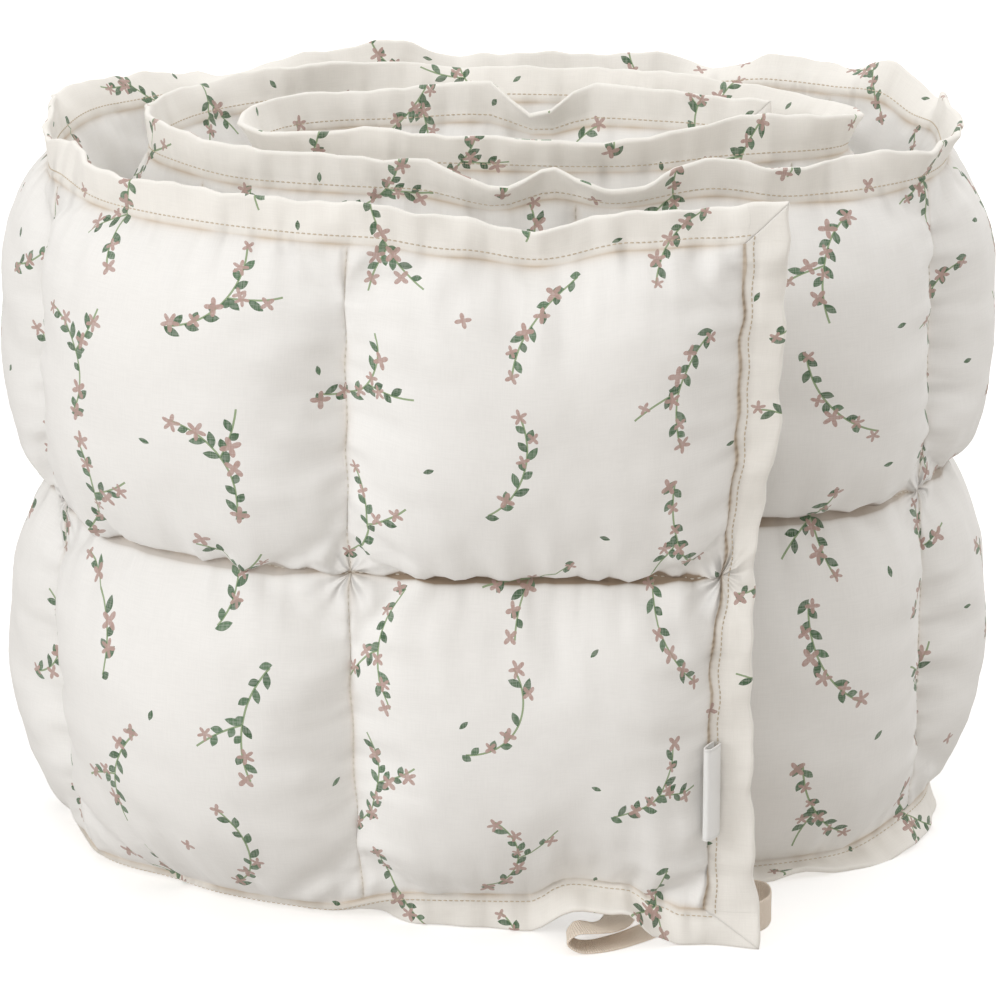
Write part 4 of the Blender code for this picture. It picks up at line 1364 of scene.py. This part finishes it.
def cloth_height(graph, at, scallop):
    """The cloth's own relief: its creases, puckers and pleats, the mitres of the flange's
    corners and the tucks beside each end."""
    mitre = graph.fading(graph.apart(at.from_end, at.from_side), MITRE_REACH)
    mitre = graph.math("MULTIPLY", mitre, at.in_flange)
    height = graph.math("MULTIPLY_ADD", at.creases, CREASE_DEPTH, seam_ridges(graph, at))
    height = graph.math("ADD", height, crossing_pleats(graph, at))
    for tuck in (mitre, scallop):
        height = graph.math("MULTIPLY_ADD", tuck, -TUCK_DEPTH, height)
    return height


def inked(graph, cloth, weave, colours):
    """The sprig print over the cloth. Its ink is thinner between the threads of the weave."""
    place = graph.node("ShaderNodeUVMap", uv_map="print").outputs[0]
    printed = graph.node("ShaderNodeGroup", {"Cloth": place}, node_tree=print_group()).outputs
    leaf = graph.mixed(printed["Tone"], colours.leaf, colours.leaf_light)
    ink = graph.spread(weave, 0.75, 1.25, 0.80, 1.0)
    cloth = graph.mixed(printed["Stem"], cloth, colours.stem)
    cloth = graph.mixed(graph.math("MULTIPLY", printed["Leaf"], ink), cloth, leaf)
    return graph.mixed(graph.math("MULTIPLY", printed["Flower"], ink), cloth, colours.flower)


def printed_cotton(colours):
    """Plain-weave cotton with the sprig print, with painted shade in its seams, folds and tucks and a
    painted warm glow on its flange.
    """
    surface = {"Roughness": 0.88, "Specular IOR Level": 0.25, "Sheen Weight": 0.15, "Sheen Roughness": 0.5}
    material, graph, shader = blank_material("printed_cotton", surface)
    at = cloth_places(graph)
    warp = graph.stretched_noise(at.flat, WEAVE_FINE, WEAVE_LONG)
    weft = graph.stretched_noise(at.flat, WEAVE_LONG, WEAVE_FINE)
    weave = graph.math("ADD", warp, weft)
    strip, scallop = end_tuck_shade(graph, at)
    cloth = graph.mixed(at.clouds, colours.cloth_shade, colours.cloth)
    # Painted light: the flange is tinted warmer and creamier than the pillows' cloth, a painted glow of
    # light through the thin flange.
    cloth = graph.mixed(at.in_flange, cloth, colours.flange)
    # Painted shade: the seams' creases are painted a warm dark tan.
    cloth = graph.mixed(seam_shade_mask(graph, at), cloth, colours.painted_seam_shade)
    # Painted shade: the warm strip of crease shade beside each end's flange.
    cloth = graph.mixed(strip, cloth, colours.painted_seam_shade)
    # Painted shade: the dark fold under the upper pillows.
    cloth = graph.mixed(row_fold_shade(graph, at), cloth, colours.fold)
    # Painted shade: the dark scallops of shade in the tucks beside each end.
    cloth = graph.mixed(scallop, cloth, colours.fold)
    cloth = inked(graph, cloth, weave, colours)
    slubs = graph.spread(weave, 0.7, 1.3, 0.984, 1.01)
    graph.feed(shader.inputs["Base Color"], graph.mixed(1.0, cloth, slubs, "MULTIPLY"))
    graph.feed(shader.inputs["Normal"], graph.bump(cloth_height(graph, at, scallop), 1.0))
    return material


def thread_material(name, colour):
    """Twisted sewing thread: fine slanted ridges of twist in its relief, and painted shade that darkens
    the grooves between them.
    """
    material, graph, shader = blank_material(name, {"Roughness": 0.7})
    x, y, z = graph.parts(graph.node("ShaderNodeTexCoord").outputs["Object"])
    slant = graph.math("ADD", graph.math("ADD", x, y), graph.math("MULTIPLY", z, 0.7))
    twist = graph.wave(slant, 0.0005)
    share = graph.spread(twist, -1.0, 1.0, 0.0, 1.0)
    # Painted shade: the thread is darker where the twist's relief is low.
    graph.feed(shader.inputs["Base Color"], graph.mixed(share, shaded(colour, 0.82), colour))
    graph.feed(shader.inputs["Normal"], graph.bump(twist, 0.00005))
    return material


def ribbed_cotton_tape(colours):
    """Natural cotton tape: ribs across its width, finer ones along it, and slubs. Its colour is darker
    between the ribs, as painted shade, and changes with the slubs.
    """
    surface = {"Roughness": 0.92, "Sheen Weight": 0.2}
    material, graph, shader = blank_material("cotton_tape", surface)
    flat = graph.node("ShaderNodeUVMap", uv_map="cloth").outputs[0]
    x, y, _ = graph.parts(flat)
    wander = graph.math("MULTIPLY", graph.noise(flat, 400.0), 0.0005)
    rib = graph.wave(graph.math("ADD", y, wander), 0.00085)
    knit = graph.math("MULTIPLY_ADD", graph.wave(x, 0.00075), 0.35, rib)
    slubs = graph.noise(flat, 900.0, 3.0)
    share = graph.spread(graph.math("ADD", knit, slubs), -1.0, 2.0, 0.0, 1.0)
    # Painted shade: the tape is darker where its ribs' relief is low; the slubs vary its tone at random.
    graph.feed(shader.inputs["Base Color"], graph.mixed(share, colours.tape_shade, colours.tape))
    graph.feed(shader.inputs["Normal"], graph.bump(knit, 0.00014))
    return material


def woven_label_tape(colours):
    """Smooth white label tape: very fine ribs along it and a woven edge at each side."""
    surface = {"Roughness": 0.45, "Sheen Weight": 0.3}
    material, graph, shader = blank_material("label_tape", surface)
    _, y, _ = graph.parts(graph.node("ShaderNodeUVMap", uv_map="cloth").outputs[0])
    from_edge = graph.math("MINIMUM", y, graph.math("SUBTRACT", LABEL_ALONG_SEAM, y))
    edge = graph.fading(graph.apart(from_edge, 0.0008), 0.0003)
    share = graph.math("MULTIPLY", edge, 0.8)
    tone = graph.mixed(share, colours.label, shaded(colours.label, 0.86))
    height = graph.math("MULTIPLY_ADD", edge, -1.5, graph.wave(y, 0.00045))
    graph.feed(shader.inputs["Base Color"], tone)
    graph.feed(shader.inputs["Normal"], graph.bump(height, 0.00005))
    return material


def pale_floor(colour, glow):
    """A pale, even studio floor with the faintest unevenness, lit from below as well."""
    surface = {"Roughness": 0.9, "Emission Color": (1.0, 1.0, 1.0, 1.0), "Emission Strength": glow}
    material, graph, shader = blank_material("studio_floor", surface)
    place = graph.node("ShaderNodeTexCoord").outputs["Object"]
    tone = graph.mixed(graph.noise(place, 3.0), shaded(colour, 0.985), colour)
    graph.feed(shader.inputs["Base Color"], tone)
    return material


# ---------------------------------------------------------------------------------------------
# Settings, operators and panel


def number_property(name, description, default, **kind):
    return FloatProperty(name=name, description=description, default=default, **kind)


def length_property(name, description, default):
    kind = {"unit": "LENGTH", "subtype": "DISTANCE", "precision": 5}
    return number_property(name, description, default, **kind)


def power_property(name, description, default):
    return number_property(name, description, default, unit="POWER")


def colour_property(name, description, default):
    kind = {"size": 3, "min": 0.0, "max": 1.0, "subtype": "COLOR"}
    return FloatVectorProperty(name=name, description=description, default=default, **kind)


class BumperQuilt(bpy.types.PropertyGroup):
    cover_growth: number_property("Cover growth", "Share by which the cover outgrows its quilting", 0.075)
    softness: number_property("Softness", "Share by which the filling's crown is uneven", 0.09)
    flange_wave: length_property("Flange wave", "How far the flange waves to either side", 0.0030)
    seam_half: length_property("Seam thickness", "Half the cloth's thickness in a seam", 0.0008)
    stitch_pitch: length_property("Stitch pitch", "Distance from one topstitch to the next", 0.0022)
    stitch_length: length_property("Stitch length", "How much of each topstitch shows", 0.0017)
    thread: length_property("Thread", "Thickness of the sewing thread", 0.00044)


class BumperColours(bpy.types.PropertyGroup):
    cloth: colour_property("Cloth", "The cotton's lit colour", (0.91, 0.902, 0.888))
    cloth_shade: colour_property("Cloth shade", "The cotton's darker clouds", (0.895, 0.883, 0.862))
    # Painted light: the flange's creamier tint is a painted warm glow of light passing through the thin
    # cloth.
    flange: colour_property("Flange", "The cotton of the flange", (0.915, 0.89, 0.845))
    # Painted shade: the warm tan painted into the seams' creases and beside each end's flange.
    painted_seam_shade: colour_property("Seam warmth", "The cotton's colour in a seam", (0.66, 0.54, 0.41))
    # Painted shade: the dark brown painted deep in the fold between the rows and in the tucks' scallops.
    fold: colour_property("Fold", "Deep in the folds and tucks", (0.30, 0.22, 0.15))
    stem: colour_property("Stem", "Printed stems", (0.33, 0.42, 0.26))
    leaf: colour_property("Leaf", "Printed leaves", (0.065, 0.125, 0.065))
    leaf_light: colour_property("Light leaf", "The lighter printed leaves", (0.13, 0.22, 0.13))
    flower: colour_property("Flower", "Printed flowers", (0.50, 0.345, 0.31))
    topstitch: colour_property("Topstitch", "The flange's stitching", (0.76, 0.65, 0.50))
    quilting: colour_property("Quilting", "The quilting's stitching", (0.82, 0.77, 0.68))
    tape: colour_property("Tape", "The tape's ribs", (0.96, 0.86, 0.75))
    # Painted shade between the tape's ribs.
    tape_shade: colour_property("Tape shade", "Between the tape's ribs", (0.88, 0.74, 0.60))
    label: colour_property("Label", "The bare label", (0.93, 0.93, 0.92))


class BumperStage(bpy.types.PropertyGroup):
    camera_distance: length_property("Camera distance", "How far the camera stands in front", 1.8677)
    camera_height: length_property("Camera height", "How high the camera stands", 0.75)
    camera_down: FloatProperty(
        name="Camera down",
        description="How far the camera looks down",
        default=np.radians(18.1),
        subtype="ANGLE",
        unit="ROTATION",
    )
    key_power: power_property("Key light", "Power of the large light at the left", 28.0)
    fill_power: power_property("Fill light", "Power of the light above", 20.0)
    side_power: power_property("Side light", "Power of the light at the right", 8.5)
    low_power: power_property("Low light", "Power of the light from the floor in front", 1.8)
    far_power: power_property("Far light", "Power of the light over the floor behind", 45.0)
    daylight: number_property("Daylight", "Strength of the even warm surroundings", 0.48)
    floor: colour_property("Floor", "The studio floor", (0.93, 0.93, 0.93))
    floor_glow: number_property("Floor glow", "Light from below the pale floor", 0.36)


class BUMPER_OT_panel(bpy.types.Operator):
    """Builds the quilted panel with its print, its topstitch and its quilting stitches"""

    bl_idname = "bumper.panel"
    bl_label = "Quilted panel"

    def execute(self, context):
        quilt, colours = context.scene.bumper_quilt, context.scene.bumper_colours
        outer, inner, flat = panel_grids(quilt)
        panel = build_cover(outer, inner, flat, BACK_SHIFT)
        dressed(panel, printed_cotton(colours), "padded_panel")
        pitch, length, thread = quilt.stitch_pitch, quilt.stitch_length, quilt.thread
        lines = topstitch_lines(outer, True) + topstitch_lines(inner, False)
        topstitch = build_stitches("topstitch", lines, pitch, length, thread)
        dressed(topstitch, thread_material("topstitch_thread", colours.topstitch))
        lines = quilting_lines(outer, True) + quilting_lines(inner, False)
        pitch = pitch * QUILTING_PITCH_SHARE
        quilting = build_stitches("quilting_stitches", lines, pitch, length, thread)
        dressed(quilting, thread_material("quilting_thread", colours.quilting))
        return {"FINISHED"}


class BUMPER_OT_tape(bpy.types.Operator):
    """Builds the natural cotton tape that lies on the floor at the front"""

    bl_idname = "bumper.tape"
    bl_label = "Tape tie"

    def execute(self, context):
        tape, length = build_tape()
        dressed(tape, ribbed_cotton_tape(context.scene.bumper_colours), "tape_tie")
        return {"FINISHED"}


class BUMPER_OT_label(bpy.types.Operator):
    """Builds the folded side label, which stays bare"""

    bl_idname = "bumper.label"
    bl_label = "Side label"

    def execute(self, context):
        label, length = build_label()
        dressed(label, woven_label_tape(context.scene.bumper_colours), "side_label")
        return {"FINISHED"}


# The stage: its floor, surroundings and camera, and each light's name, place, aim, size, colour.
FLOOR_HALF = 6.0
FLOOR_LINES = 25
DAYLIGHT = (1.0, 0.945, 0.875)
SENSOR_MM = 36.0
LENS_MM = 171.83
COOL, WHITE = (0.96, 0.98, 1.0), (1.0, 1.0, 1.0)
LIGHTS = (
    ("key", (-2.1, -1.3, 1.25), (0.0, 0.0, 0.14), 1.6, COOL),
    ("fill", (0.2, 0.1, 2.4), (0.0, 0.0, 0.1), 2.2, COOL),
    ("side", (1.7, 0.2, 0.7), (0.1, 0.0, 0.1), 1.4, COOL),
    ("low", (-0.1, -0.85, 0.03), (0.0, 0.0, 0.2), 0.8, WHITE),
    ("far", (0.0, 3.4, 2.2), (0.0, 3.0, 0.0), 3.0, WHITE),
)


def area_light(name, place, aim, size, power, colour):
    """A square soft light at a place, turned to face its aim."""
    data = bpy.data.lights.new(name, "AREA")
    data.shape = "SQUARE"
    data.size = size
    data.energy = power
    data.color = colour
    light = bpy.data.objects.new(name, data)
    light.location = place
    direction = Vector(np.array(aim) - np.array(place))
    light.rotation_euler = direction.to_track_quat("-Z", "Y").to_euler()
    bpy.context.scene.collection.objects.link(light)
    return light


class BUMPER_OT_stage(bpy.types.Operator):
    """Lays the pale floor and places the soft lights and the camera"""

    bl_idname = "bumper.stage"
    bl_label = "Studio stage"

    def execute(self, context):
        stage, scene = context.scene.bumper_stage, context.scene
        edge = np.linspace(-FLOOR_HALF, FLOOR_HALF, FLOOR_LINES)
        x, y = np.meshgrid(edge, edge, indexing="ij")
        index = np.arange(x.size).reshape(x.shape)
        points = np.stack((x, y, np.zeros_like(x)), axis=-1).reshape(-1, 3)
        floor = new_mesh_object("studio_floor", points, quad_faces(index).reshape(-1, 4))
        floor.data.materials.append(pale_floor(stage.floor, stage.floor_glow))
        floor.visible_diffuse = False
        for name, place, aim, size, colour in LIGHTS:
            power = getattr(stage, name + "_power")
            area_light(name + "_light", place, aim, size, power, colour)
        world = bpy.data.worlds.new("studio")
        world.use_nodes = True
        background = world.node_tree.nodes["Background"]
        background.inputs["Color"].default_value = (*DAYLIGHT, 1.0)
        background.inputs["Strength"].default_value = stage.daylight
        scene.world = world
        scene.view_settings.view_transform = "Standard"
        data = bpy.data.cameras.new("camera")
        data.sensor_width = SENSOR_MM
        data.lens = LENS_MM
        data.dof.use_dof = False
        camera = bpy.data.objects.new("camera", data)
        camera.location = (-MIDDLE_OF_BASE[0], -stage.camera_distance, stage.camera_height)
        camera.rotation_euler = Euler((np.pi / 2 - stage.camera_down, 0.0, 0.0))
        scene.collection.objects.link(camera)
        scene.camera = camera
        return {"FINISHED"}


class BUMPER_PT_sidebar(bpy.types.Panel):
    """Lists the pieces of the bumper and their settings"""

    bl_idname = "BUMPER_PT_sidebar"
    bl_label = "Crib bumper"
    bl_space_type = "VIEW_3D"
    bl_region_type = "UI"
    bl_category = "Bumper"

    def draw(self, context):
        scene = context.scene
        for group in (scene.bumper_quilt, scene.bumper_colours, scene.bumper_stage):
            box = self.layout.box()
            for name in group.__annotations__:
                box.prop(group, name)
        for operator in OPERATORS:
            self.layout.operator(operator.bl_idname)


SETTINGS = (BumperQuilt, BumperColours, BumperStage)
OPERATORS = (BUMPER_OT_panel, BUMPER_OT_tape, BUMPER_OT_label, BUMPER_OT_stage)


def register():
    for part in (*SETTINGS, *OPERATORS, BUMPER_PT_sidebar):
        bpy.utils.register_class(part)
    bpy.types.Scene.bumper_quilt = PointerProperty(type=BumperQuilt)
    bpy.types.Scene.bumper_colours = PointerProperty(type=BumperColours)
    bpy.types.Scene.bumper_stage = PointerProperty(type=BumperStage)


def unregister():
    del bpy.types.Scene.bumper_stage
    del bpy.types.Scene.bumper_colours
    del bpy.types.Scene.bumper_quilt
    for part in (BUMPER_PT_sidebar, *reversed(OPERATORS), *reversed(SETTINGS)):
        bpy.utils.unregister_class(part)


def main():
    register()
    bpy.ops.bumper.panel()
    bpy.ops.bumper.tape()
    bpy.ops.bumper.label()
    bpy.ops.bumper.stage()
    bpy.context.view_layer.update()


if __name__ == "__main__":
    main()
